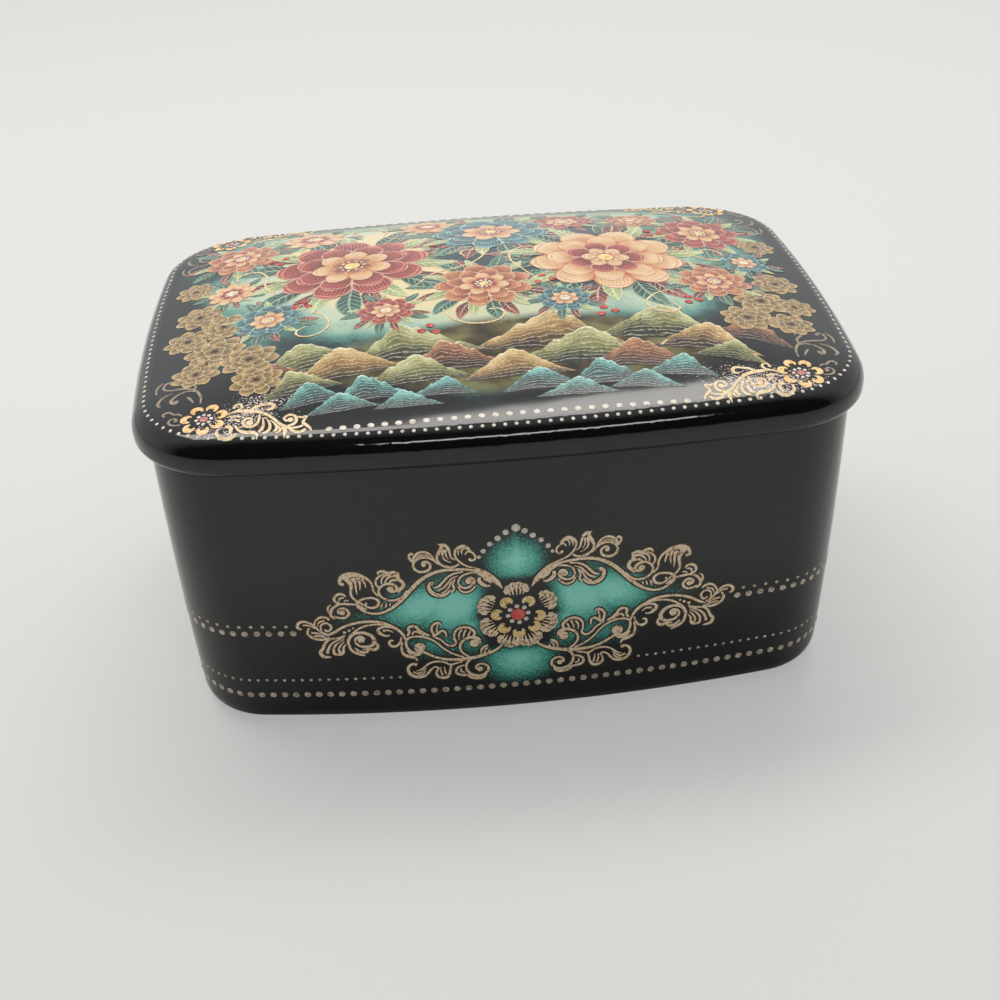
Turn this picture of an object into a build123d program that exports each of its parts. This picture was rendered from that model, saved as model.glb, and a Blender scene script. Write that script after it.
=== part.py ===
# A lidded trinket box in black-glazed porcelain: a deep box with bowed, drafted walls
# on a recessed foot, and a low domed lid that overhangs it and lifts straight off.
# Lengths are in millimetres. +Z is up, +X runs along the box, -Y is the decorated front,
# and the origin is the middle of the foot.
from build123d import *
import math
import os

# lid, seen from above
lid_length = 120.0
lid_width = 90.0
lid_front_bow_radius = 410.0
lid_end_bow_radius = 380.0
lid_corner_radius = 17.2

# lid, from its lip up
lid_side_height = 5.7
lid_crown_rise = 6.0
lid_shoulder_radius = 4.0
lid_lip_roll_radius = 1.6
lid_wall = 3.4
lid_hollow_bevel = 1.6

# ring under the lid that finds the mouth of the box
ring_depth = 4.5
ring_wall = 2.8
ring_play = 0.8
ring_lead_bevel = 0.8

# box
rim_height = 51.5
overhang = 2.5
box_wall = 3.6
rim_corner_radius = 12.0
rim_bevel = 0.6
box_draft = 1.2
draft_curve_power = 2.5
foot_front_bow_radius = 290.0
foot_end_bow_radius = 200.0
foot_corner_radius = 12.5
foot_roll_radius = 3.8
floor_thickness = 4.2
floor_roll_radius = 4.0

# foot
foot_ring_width = 3.2
foot_recess_depth = 1.4

# least radius left where an outline is drawn in past its corner
least_corner_radius = 1.5
# how far an edge may lie from a height and still count as lying at it
level_slack = 0.01

# where the wall is drawn, as shares of its height from rim to foot
wall_height_shares = (0.0, 0.25, 0.5, 0.75, 1.0)
# where the dome is drawn, as shares of its outline from edge to crown
dome_ring_shares = (1.0, 0.8, 0.6, 0.4, 0.2)

crown_top = rim_height + lid_side_height + lid_crown_rise
ring_bottom = rim_height - ring_depth


def bowed_outline(length, width, front_bow, end_bow, corner, height):
    """Closed outline of four shallow bows joined by four tangent corner arcs."""
    half_length = length / 2
    half_width = width / 2
    front_centre = Vector(0, half_width - front_bow)
    end_centre = Vector(half_length - end_bow, 0)
    front_reach = front_bow - corner
    end_reach = end_bow - corner
    span = end_centre - front_centre
    along = (span.length**2 + front_reach**2 - end_reach**2) / (2 * span.length)
    across = math.sqrt(front_reach**2 - along**2)
    way = span.normalized()
    corner_centre = front_centre + way * along + Vector(way.Y, -way.X) * across
    front_join = front_centre + (corner_centre - front_centre).normalized() * front_bow
    end_join = end_centre + (corner_centre - end_centre).normalized() * end_bow
    bisector = ((front_join - corner_centre) + (end_join - corner_centre)).normalized()
    corner_mid = corner_centre + bisector * corner

    def place(point, x_side, y_side):
        return Vector(point.X * x_side, point.Y * y_side, height)

    end_mid = Vector(half_length, 0)
    front_mid = Vector(0, half_width)
    edges = []
    for x_side, y_side in ((1, -1), (1, 1), (-1, 1), (-1, -1)):
        first, last = (front_join, end_join) if x_side * y_side < 0 else (end_join, front_join)
        next_side = (end_mid, x_side, 0) if x_side * y_side < 0 else (front_mid, 0, y_side)
        edges.append(
            ThreePointArc(
                place(first, x_side, y_side),
                place(corner_mid, x_side, y_side),
                place(last, x_side, y_side),
            )
        )
        mirrored = (x_side, -y_side) if x_side * y_side < 0 else (-x_side, y_side)
        edges.append(
            ThreePointArc(
                place(last, x_side, y_side),
                place(next_side[0], next_side[1], next_side[2]),
                place(last, mirrored[0], mirrored[1]),
            )
        )
    return Wire(edges)


def wall_outline(drop_share, inset, height):
    """Box outline at a share of the way from rim to foot, drawn in by an inset."""
    rest_share = 1 - drop_share
    draw_in = overhang + box_draft * drop_share**draft_curve_power + inset
    front_bend = rest_share / lid_front_bow_radius + drop_share / foot_front_bow_radius
    end_bend = rest_share / lid_end_bow_radius + drop_share / foot_end_bow_radius
    corner = rim_corner_radius * rest_share + foot_corner_radius * drop_share
    return bowed_outline(
        lid_length - 2 * draw_in,
        lid_width - 2 * draw_in,
        1 / front_bend - inset,
        1 / end_bend - inset,
        max(corner - inset, least_corner_radius),
        height,
    )


def wall_form(inset, low):
    """Solid inside the box wall's skin drawn in by an inset, from a height up to the rim."""
    rings = []
    for share in wall_height_shares:
        drop = (rim_height - low) * share
        rings.append(wall_outline(drop / rim_height, inset, rim_height - drop))
    return Part() + Solid.make_loft(rings)


def lid_outline(inset, height, ring_share=1.0):
    """Lid outline drawn in by an inset, then scaled about its middle."""
    corner = max(lid_corner_radius - inset, least_corner_radius)
    return bowed_outline(
        (lid_length - 2 * inset) * ring_share,
        (lid_width - 2 * inset) * ring_share,
        (lid_front_bow_radius - inset) * ring_share,
        (lid_end_bow_radius - inset) * ring_share,
        corner * ring_share,
        height,
    )


def domed_form(inset, low, dome_foot, dome_rise):
    """Upright side from a height up to the foot of a shallow dome, and the dome on it."""
    top = dome_foot + dome_rise
    side = extrude(Face(lid_outline(inset, low)), dome_foot - low)
    rings = [lid_outline(inset, top - dome_rise * share**2, share) for share in dome_ring_shares]
    return side + Solid.make_loft([*rings, Vertex(0, 0, top)])


def edges_at(part, height):
    """Edges that lie flat at a height."""
    low, high = height - level_slack, height + level_slack
    level = part.edges().filter_by_position(Axis.Z, low, high)
    return [edge for edge in level if abs((edge @ 0).Z - height) < level_slack]


def make_box():
    """The box: drafted bowed wall, rolled foot with a recess, and a flat seat at the rim."""
    box = fillet(edges_at(wall_form(0.0, 0.0), 0.0), foot_roll_radius)
    inside = wall_form(box_wall, floor_thickness)
    box -= fillet(edges_at(inside, floor_thickness), floor_roll_radius)
    recess_outline = wall_outline(1.0, foot_roll_radius + foot_ring_width, 0.0)
    box -= extrude(Face(recess_outline), foot_recess_depth)
    return chamfer(edges_at(box, rim_height), rim_bevel)


def make_lid():
    """The lid: domed shell with a rolled lip, and a ring that drops into the mouth."""
    shoulder_height = crown_top - lid_crown_rise
    lid = domed_form(0.0, rim_height, shoulder_height, lid_crown_rise)
    lid = fillet(edges_at(lid, shoulder_height), lid_shoulder_radius)
    lid = fillet(edges_at(lid, rim_height), lid_lip_roll_radius)
    ring_inset = box_wall + ring_play
    ring_face = Face(wall_outline(0.0, ring_inset, ring_bottom))
    lid += extrude(ring_face, ring_depth + lid_wall)
    hollow_inset = overhang + ring_inset + ring_wall
    hollow_rise = lid_crown_rise * (1 - 2 * hollow_inset / lid_width) ** 2
    hollow_height = crown_top - lid_wall - hollow_rise
    hollow = domed_form(hollow_inset, ring_bottom, hollow_height, hollow_rise)
    lid -= chamfer(edges_at(hollow, hollow_height), lid_hollow_bevel)
    return chamfer(edges_at(lid, ring_bottom), ring_lead_bevel)


def main():
    os.makedirs("parts", exist_ok=True)
    for name, part in (("box", make_box()), ("lid", make_lid())):
        export_step(part, "parts/" + name + ".step")
        print(name, len(part.solids()), round(part.volume), part.bounding_box())


main()
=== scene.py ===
import bpy
import math
from mathutils import Matrix, Vector


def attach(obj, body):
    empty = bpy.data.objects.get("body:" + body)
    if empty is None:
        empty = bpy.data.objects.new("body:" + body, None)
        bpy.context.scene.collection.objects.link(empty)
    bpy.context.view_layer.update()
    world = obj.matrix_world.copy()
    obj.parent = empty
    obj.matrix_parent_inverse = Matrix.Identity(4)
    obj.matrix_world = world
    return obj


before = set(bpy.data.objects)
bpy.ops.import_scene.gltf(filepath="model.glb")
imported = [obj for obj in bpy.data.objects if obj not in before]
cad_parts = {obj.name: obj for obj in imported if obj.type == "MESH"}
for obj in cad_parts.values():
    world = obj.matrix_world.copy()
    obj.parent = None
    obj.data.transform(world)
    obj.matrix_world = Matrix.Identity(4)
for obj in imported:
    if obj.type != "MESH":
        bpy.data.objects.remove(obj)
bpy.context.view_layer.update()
mm = 0.001

# viewing angle of the photograph
camera_place = Vector((-15.616, -237.498, 165.037)) * mm
camera_azimuth = math.radians(-3.951)
camera_elevation = math.radians(31.78)
camera_roll = math.radians(-2.63)
camera_lens = 53.217

floor_colour = (0.76, 0.765, 0.745)
backdrop_colour = (0.735, 0.74, 0.72)
# share of the floor's look that is its own light, where the box throws its shadow
floor_own_light = 0.52
floor_size = 4.0
# the floor lies a little under the foot
floor_drop = 0.00002
black = (0.006, 0.006, 0.0065)

# heights in millimetres that part the bare, the white and the black porcelain
foot_ring_top = 0.3
foot_recess_top = 1.6
inner_floor_top = 30.0
ring_lead_top = 47.9
rim_low = 51.0
seat_top = 51.52
shoulder_low = 54.5
crown_low = 57.6
# how far across a place has to lie to count as one on a long side
long_side_from = 30

# signs of the two sides of a middle line
sides = (1, -1)


def place_camera():
    """Camera at the photograph's place, turned by its azimuth, elevation and roll."""
    level = Vector((math.cos(camera_azimuth), math.sin(camera_azimuth), 0))
    back = Vector(
        (
            math.sin(camera_azimuth) * math.cos(camera_elevation),
            -math.cos(camera_azimuth) * math.cos(camera_elevation),
            math.sin(camera_elevation),
        )
    )
    upright = back.cross(level)
    right = level * math.cos(camera_roll) + upright * math.sin(camera_roll)
    up = upright * math.cos(camera_roll) - level * math.sin(camera_roll)
    data = bpy.data.cameras.new("camera")
    data.lens = camera_lens
    data.clip_start = 0.01
    data.clip_end = 20
    camera = bpy.data.objects.new("camera", data)
    turn = Matrix((right, up, back)).transposed().to_4x4()
    camera.matrix_world = Matrix.Translation(camera_place) @ turn
    bpy.context.scene.collection.objects.link(camera)
    bpy.context.scene.camera = camera


def finish_of(name):
    """New material, its node tree and its surface shader."""
    material = bpy.data.materials.new(name)
    material.use_nodes = True
    tree = material.node_tree
    return material, tree, tree.nodes["Principled BSDF"]


def node_step(tree, kind, *feeds, **settings):
    """New node with its settings, and its inputs linked or set in order; gives its first output."""
    node = tree.nodes.new("ShaderNode" + kind)
    for setting, value in settings.items():
        setattr(node, setting, value)
    for place, feed in enumerate(feeds):
        if feed is None:
            continue
        if isinstance(feed, bpy.types.NodeSocket):
            tree.links.new(feed, node.inputs[place])
        else:
            node.inputs[place].default_value = feed
    return node.outputs[0]


def maths(tree, operation, *feeds):
    return node_step(tree, "Math", *feeds, operation=operation)


def through(tree, operation, feeds):
    """One operation run through all its feeds, from the first to the last."""
    whole = feeds[0]
    for feed in feeds[1:]:
        whole = maths(tree, operation, whole, feed)
    return whole


def times(tree, *feeds):
    """Product; of masks, 1 where all of them hold."""
    return through(tree, "MULTIPLY", feeds)


def plus(tree, *feeds):
    return through(tree, "ADD", feeds)


def most(tree, *feeds):
    """Greatest feed; of masks, 1 where any of them holds."""
    return through(tree, "MAXIMUM", feeds)


def minus(tree, first, second):
    return maths(tree, "SUBTRACT", first, second)


def above(tree, feed, limit):
    return maths(tree, "GREATER_THAN", feed, limit)


def below(tree, feed, limit):
    return maths(tree, "LESS_THAN", feed, limit)


def ramp(tree, feed, places, colours):
    """Colour ramp through its colours, each at its place."""
    node = tree.nodes.new("ShaderNodeValToRGB")
    tree.links.new(feed, node.inputs[0])
    band = node.color_ramp
    while len(band.elements) < len(places):
        band.elements.new(0.5)
    for element, place, colour in zip(band.elements, places, colours):
        element.position = place
        element.color = (*colour, 1)
    return node.outputs[0]


def fade(tree, feed, low, high, least=0.0):
    """Ramp from a least value at one place up to 1 at another."""
    return ramp(tree, feed, (low, high), ((least, least, least), (1, 1, 1)))


def blend_colours(tree, share, under, over):
    node = tree.nodes.new("ShaderNodeMix")
    node.data_type = "RGBA"
    for socket, feed in ((0, share), (6, under), (7, over)):
        if isinstance(feed, bpy.types.NodeSocket):
            tree.links.new(feed, node.inputs[socket])
        else:
            node.inputs[socket].default_value = feed if socket == 0 else (*feed, 1)
    return node.outputs[2]


def in_parts(tree, feed):
    """The X, Y and Z of a place or a way."""
    outputs = node_step(tree, "SeparateXYZ", feed).node.outputs
    return outputs["X"], outputs["Y"], outputs["Z"]


def place_in_mm(tree):
    """Object coordinates in millimetres, and the surface's outward way."""
    whole = node_step(tree, "TexCoord").node.outputs
    place = node_step(tree, "VectorMath", whole["Object"], None, None, 1 / mm, operation="SCALE")
    return place, whole["Normal"]


def own_map(tree):
    """Place in millimetres, and the ways across and up a piece's own map, from 0 to 1."""
    place, _ = place_in_mm(tree)
    across, along, _ = in_parts(tree, node_step(tree, "TexCoord").node.outputs["UV"])
    return place, across, along


def glow(tree, place, centre, size, turn=(0, 0, 0)):
    """Soft round patch: 1 at its centre, falling to 0 at its size."""
    patch = node_step(tree, "Mapping", place, centre, turn, size, vector_type="TEXTURE")
    return node_step(tree, "TexGradient", patch, gradient_type="SPHERICAL").node.outputs["Fac"]


def speckle(tree, place, grains_per_mm, detail):
    """Even fine noise from 0 to 1, so many grains to the millimetre."""
    return node_step(tree, "TexNoise", place, None, grains_per_mm, detail).node.outputs["Fac"]


def add_relief(tree, shader, height, strength, depth):
    """Fine unevenness of a surface."""
    bump = tree.nodes.new("ShaderNodeBump")
    bump.inputs["Strength"].default_value = strength
    bump.inputs["Distance"].default_value = depth
    tree.links.new(height, bump.inputs["Height"])
    tree.links.new(bump.outputs[0], shader.inputs["Normal"])


def lay_floor():
    """Pale paper floor with a soft shadow; part of what the camera sees is its own light."""
    bpy.ops.mesh.primitive_plane_add(size=floor_size, location=(0, 0, -floor_drop))
    floor = bpy.context.object
    floor.name = "floor"
    material, tree, shader = finish_of("pale_floor")
    shader.inputs["Roughness"].default_value = 0.9
    shader.inputs["Specular IOR Level"].default_value = 0.1
    place = node_step(tree, "TexCoord").node.outputs["Object"]
    reach = node_step(tree, "VectorMath", place, operation="LENGTH").node.outputs["Value"]
    # from 0.6 to 1.1 m away it turns into the backdrop
    far = fade(tree, times(tree, reach, 0.5), 0.3, 0.55)
    # painted shade: the floor's colour and its own light grow a little darker towards the front
    depth = plus(tree, in_parts(tree, place)[1], 0.5)
    paper = most(tree, fade(tree, depth, 0.38, 0.62, 0.915), far)
    tree.links.new(blend_colours(tree, paper, (0, 0, 0), floor_colour), shader.inputs["Base Color"])
    own = node_step(tree, "Emission", blend_colours(tree, paper, (0, 0, 0), backdrop_colour))
    seen = node_step(tree, "LightPath").node.outputs["Is Camera Ray"]
    share = times(tree, seen, most(tree, far, floor_own_light))
    mix = node_step(tree, "MixShader", share, shader.outputs[0], own)
    tree.links.new(mix, tree.nodes["Material Output"].inputs["Surface"])
    floor.data.materials.append(material)


def hang_lamp(name, size, watts, colour, place, aim):
    """Oblong soft lamp at a place, turned to shine on another."""
    lamp = bpy.data.lights.new(name, "AREA")
    lamp.shape = "RECTANGLE"
    lamp.size, lamp.size_y = size
    lamp.energy = watts
    lamp.color = colour
    hung = bpy.data.objects.new(name, lamp)
    turn = (Vector(aim) - Vector(place)).to_track_quat("-Z", "Y").to_matrix().to_4x4()
    hung.matrix_world = Matrix.Translation(place) @ turn
    bpy.context.scene.collection.objects.link(hung)


def light_room():
    """A bright room behind, a dark one in front, a soft lamp over the back and a small one in front."""
    world = bpy.data.worlds.new("room")
    bpy.context.scene.world = world
    world.use_nodes = True
    tree = world.node_tree
    background = tree.nodes["Background"]
    depth = in_parts(tree, node_step(tree, "TexCoord").node.outputs["Generated"])[1]
    frontness = maths(tree, "MULTIPLY_ADD", depth, -0.5, 0.5)
    room = ramp(tree, frontness, (0.50, 0.70), ((0.775, 0.79, 0.80), (0.02, 0.02, 0.022)))
    tree.links.new(room, background.inputs["Color"])
    # the camera sees the paper backdrop run on past the edge of the floor
    paper = node_step(tree, "Background", (*backdrop_colour, 1))
    seen = node_step(tree, "LightPath").node.outputs["Is Camera Ray"]
    choice = node_step(tree, "MixShader", seen, background.outputs[0], paper)
    tree.links.new(choice, tree.nodes["World Output"].inputs["Surface"])
    hang_lamp("ceiling_lamp", (0.9, 0.28), 5.2, (1.0, 0.97, 0.92), (-0.08, 0.29, 0.82), (0, 0, 0.05))
    hang_lamp("front_lamp", (0.5, 0.1), 1.6, (1, 1, 1), (0.12, -0.85, 0.75), (0, 0, 0.03))


# ornament of the wall: lines of (along, up, width), drawn once for the left and turned over
# for the right, in millimetres
upper_scroll = [
    [(-2.4, 27.0, 0.12), (-3.0, 28.3, 0.5), (-4.0, 29.6, 0.5), (-5.3, 30.5, 0.45), (-7.3, 31.15, 0.45),
     (-10.0, 31.45, 0.5), (-12.5, 31.3, 0.6), (-14.0, 30.75, 0.65), (-15.5, 29.75, 0.7),
     (-17.0, 28.2, 0.75), (-18.5, 26.4, 0.7), (-20.0, 24.9, 0.6), (-21.5, 23.95, 0.5),
     (-23.0, 23.55, 0.45), (-24.5, 23.9, 0.45), (-25.6, 24.8, 0.5), (-26.2, 25.7, 0.4)],
    [(-2.5, 27.2, 0.15), (-3.2, 28.3, 0.9), (-4.2, 29.2, 1.0), (-5.3, 29.9, 0.8), (-6.4, 30.4, 0.3)],
    [(-6.0, 29.6, 0.5), (-6.1, 28.9, 0.7), (-5.6, 28.2, 0.7), (-4.9, 27.8, 0.5), (-4.3, 27.8, 0.25)],
    [(-5.2, 30.0, 0.4), (-5.1, 29.3, 0.7), (-4.5, 28.8, 0.6), (-4.2, 28.3, 0.3)],
]
crest_leaves = [
    [(-2.9, 28.5, 0.2), (-3.7, 29.5, 0.25), (-4.8, 30.5, 0.3), (-6.5, 31.4, 0.3), (-8.0, 32.0, 0.35),
     (-8.9, 32.75, 0.35), (-9.6, 33.8, 0.35), (-9.7, 34.8, 0.4), (-9.2, 35.5, 0.6), (-8.3, 35.8, 0.75),
     (-7.6, 35.3, 0.6), (-7.2, 34.8, 0.35)],
    [(-8.1, 34.2, 0.2), (-7.7, 34.75, 0.3), (-7.1, 34.6, 0.35), (-6.6, 34.0, 0.35), (-6.5, 33.4, 0.38),
     (-6.9, 33.0, 0.38), (-7.4, 33.1, 0.35), (-7.55, 33.35, 0.3)],
    [(-8.6, 34.3, 0.12), (-8.6, 35.0, 0.3), (-8.1, 35.5, 0.3)],
    [(-9.2, 34.2, 0.12), (-9.15, 34.9, 0.28), (-8.8, 35.5, 0.25)],
    [(-12.3, 36.6, 0.12), (-11.8, 36.2, 0.5), (-11.9, 35.5, 0.75), (-12.3, 34.8, 0.6),
     (-12.6, 34.0, 0.42), (-12.4, 33.1, 0.4), (-11.8, 32.4, 0.42), (-10.9, 32.0, 0.42),
     (-10.0, 32.0, 0.4), (-9.1, 32.5, 0.3)],
    [(-12.1, 36.55, 0.2), (-11.3, 36.3, 0.6), (-10.75, 35.6, 0.5), (-10.5, 34.6, 0.35),
     (-10.3, 33.8, 0.3), (-9.7, 33.3, 0.25)],
    [(-11.5, 35.5, 0.7), (-11.7, 34.4, 0.35), (-11.3, 33.4, 0.25), (-10.4, 32.85, 0.12)],
    [(-11.1, 35.4, 0.5), (-11.15, 34.4, 0.25), (-10.8, 33.5, 0.12)],
    [(-10.9, 32.1, 0.3), (-12.3, 32.7, 0.4), (-13.2, 33.6, 0.42), (-14.2, 34.15, 0.45),
     (-15.4, 34.05, 0.4), (-16.3, 33.3, 0.4), (-16.4, 32.4, 0.4), (-15.9, 31.65, 0.45),
     (-15.1, 31.4, 0.5), (-14.2, 31.65, 0.5), (-13.75, 32.4, 0.45), (-14.0, 33.1, 0.4),
     (-14.7, 33.35, 0.4), (-15.1, 32.9, 0.35)],
    [(-13.0, 33.6, 0.2), (-13.6, 34.6, 0.35), (-14.3, 35.15, 0.4), (-15.2, 35.2, 0.45),
     (-15.9, 34.75, 0.55), (-16.3, 34.1, 0.5), (-16.4, 33.2, 0.35)],
    [(-16.3, 33.3, 0.4), (-16.8, 33.9, 0.45), (-17.0, 34.6, 0.4), (-16.65, 35.05, 0.38),
     (-16.3, 34.85, 0.25)],
    [(-13.6, 34.1, 0.12), (-14.4, 34.65, 0.25), (-15.3, 34.55, 0.3), (-15.9, 34.1, 0.2)],
]
inner_leaves = [
    [(-5.6, 30.5, 0.3), (-6.6, 30.6, 0.3), (-7.8, 30.5, 0.35), (-8.8, 30.1, 0.35), (-9.4, 29.2, 0.35),
     (-9.3, 28.3, 0.35), (-8.7, 27.75, 0.4), (-7.7, 27.85, 0.45), (-7.0, 28.5, 0.5), (-6.95, 29.2, 0.5),
     (-7.4, 29.6, 0.5), (-8.0, 29.4, 0.4)],
    [(-9.5, 28.0, 0.3), (-9.1, 27.15, 0.35), (-8.2, 26.8, 0.4), (-7.3, 27.25, 0.35), (-6.7, 28.0, 0.25)],
    [(-8.6, 30.95, 0.3), (-10.1, 30.65, 0.35), (-11.1, 30.1, 0.4), (-11.9, 29.2, 0.42),
     (-12.6, 28.4, 0.45), (-13.3, 28.1, 0.35)],
    [(-13.4, 29.2, 0.25), (-13.8, 29.2, 0.42), (-14.2, 28.7, 0.55), (-14.2, 28.0, 0.65),
     (-13.7, 27.1, 0.75), (-12.9, 26.6, 0.75), (-12.0, 26.5, 0.6), (-11.3, 26.9, 0.45),
     (-10.8, 27.5, 0.3)],
    [(-9.4, 30.2, 0.15), (-10.5, 29.7, 0.3), (-11.2, 28.8, 0.35), (-11.9, 28.0, 0.38),
     (-12.7, 27.6, 0.4)],
    [(-9.9, 29.6, 0.12), (-10.6, 29.0, 0.3), (-11.0, 28.1, 0.3), (-11.6, 27.3, 0.35), (-12.2, 26.9, 0.4)],
    [(-10.0, 29.4, 0.2), (-10.35, 28.5, 0.35), (-10.2, 27.7, 0.4), (-10.6, 27.0, 0.4)],
]
middle_spiral = [
    [(-17.8, 27.9, 0.25), (-18.4, 27.0, 0.35), (-19.3, 26.3, 0.4), (-20.4, 26.1, 0.4), (-21.5, 26.5, 0.4),
     (-22.25, 27.4, 0.4), (-22.2, 28.5, 0.4), (-21.5, 29.25, 0.45), (-20.5, 29.45, 0.5),
     (-19.6, 29.0, 0.55), (-19.4, 28.3, 0.5), (-19.9, 27.8, 0.45), (-20.5, 27.9, 0.4)],
    [(-18.8, 31.6, 0.2), (-19.0, 31.0, 0.55), (-18.95, 30.3, 0.65), (-18.4, 29.6, 0.6),
     (-18.3, 28.9, 0.65), (-18.8, 28.3, 0.65), (-19.3, 27.7, 0.5)],
    [(-18.8, 31.5, 0.2), (-19.7, 31.65, 0.6), (-20.6, 31.5, 0.65), (-21.3, 31.9, 0.6),
     (-22.1, 31.75, 0.4), (-22.2, 31.3, 0.25)],
    [(-21.2, 31.4, 0.4), (-22.1, 30.9, 0.38), (-22.6, 30.2, 0.35), (-22.6, 29.4, 0.35),
     (-22.2, 28.7, 0.3)],
    [(-19.2, 31.0, 0.6), (-20.2, 30.9, 0.5), (-20.9, 30.3, 0.35), (-21.2, 29.7, 0.2)],
    [(-19.1, 30.1, 0.6), (-20.0, 30.1, 0.45), (-20.6, 29.6, 0.25)],
    [(-20.3, 31.3, 0.4), (-21.3, 30.9, 0.35), (-21.7, 30.2, 0.3), (-21.7, 29.5, 0.2)],
]
plume = [
    [(-22.4, 27.1, 0.3), (-23.1, 28.0, 0.35), (-23.25, 29.2, 0.35), (-23.6, 30.1, 0.4),
     (-24.5, 31.0, 0.55), (-25.7, 31.5, 0.9), (-26.8, 31.5, 1.2), (-27.8, 31.2, 0.95), (-28.3, 30.6, 0.6),
     (-28.35, 29.9, 0.5), (-27.95, 29.6, 0.38)],
    [(-27.4, 30.9, 1.0), (-26.9, 30.2, 0.85), (-26.65, 29.4, 0.6), (-26.75, 28.4, 0.45),
     (-26.8, 27.5, 0.4), (-26.4, 26.7, 0.4), (-25.8, 26.0, 0.35)],
    [(-26.2, 30.9, 0.9), (-25.9, 29.8, 0.45), (-25.9, 28.6, 0.3), (-25.8, 27.6, 0.12)],
    [(-25.4, 31.0, 0.7), (-25.2, 29.8, 0.4), (-25.3, 28.5, 0.15)],
    [(-24.8, 30.7, 0.5), (-24.4, 29.6, 0.3), (-24.3, 28.9, 0.12)],
    [(-26.3, 25.4, 0.4), (-25.6, 26.3, 0.45), (-24.4, 26.75, 0.4), (-23.1, 26.65, 0.42),
     (-22.5, 26.0, 0.5), (-22.7, 25.2, 0.55), (-23.4, 24.8, 0.5), (-24.2, 24.9, 0.4), (-24.7, 25.4, 0.35),
     (-24.4, 25.85, 0.3)],
    [(-26.0, 25.2, 0.8), (-25.3, 24.9, 0.5), (-24.5, 24.5, 0.2)],
    [(-26.1, 25.9, 0.6), (-25.4, 25.8, 0.4), (-25.0, 25.3, 0.3)],
    [(-21.9, 25.6, 0.25), (-22.1, 25.1, 0.35), (-22.2, 24.6, 0.25)],
    [(-21.2, 25.6, 0.25), (-21.35, 25.2, 0.32), (-21.4, 24.8, 0.25)],
    [(-20.6, 25.6, 0.2), (-20.7, 25.3, 0.28), (-20.7, 25.0, 0.2)],
]
upper_tip = [
    [(-26.4, 25.6, 0.4), (-27.6, 25.8, 0.38), (-28.7, 25.9, 0.38), (-29.5, 26.4, 0.42),
     (-29.5, 27.2, 0.5), (-28.9, 27.75, 0.55), (-28.1, 27.7, 0.42), (-27.7, 27.2, 0.25)],
    [(-28.9, 26.2, 0.25), (-28.7, 26.9, 0.35), (-28.0, 27.1, 0.3)],
    [(-28.1, 26.1, 0.2), (-27.8, 26.5, 0.28), (-27.3, 26.4, 0.2)],
    [(-27.2, 25.6, 0.3), (-28.6, 25.8, 0.38), (-29.8, 25.2, 0.45), (-30.4, 24.2, 0.5), (-30.3, 23.3, 0.5),
     (-29.7, 22.9, 0.3)],
    [(-29.9, 23.3, 0.4), (-28.9, 22.95, 0.42), (-28.0, 23.1, 0.48), (-27.5, 23.8, 0.5),
     (-27.8, 24.6, 0.5), (-28.6, 24.9, 0.45), (-29.2, 24.4, 0.4), (-29.1, 23.8, 0.3)],
    [(-30.2, 25.7, 0.15), (-30.7, 25.3, 0.3), (-30.8, 24.6, 0.38), (-30.5, 23.9, 0.3)],
]
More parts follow.
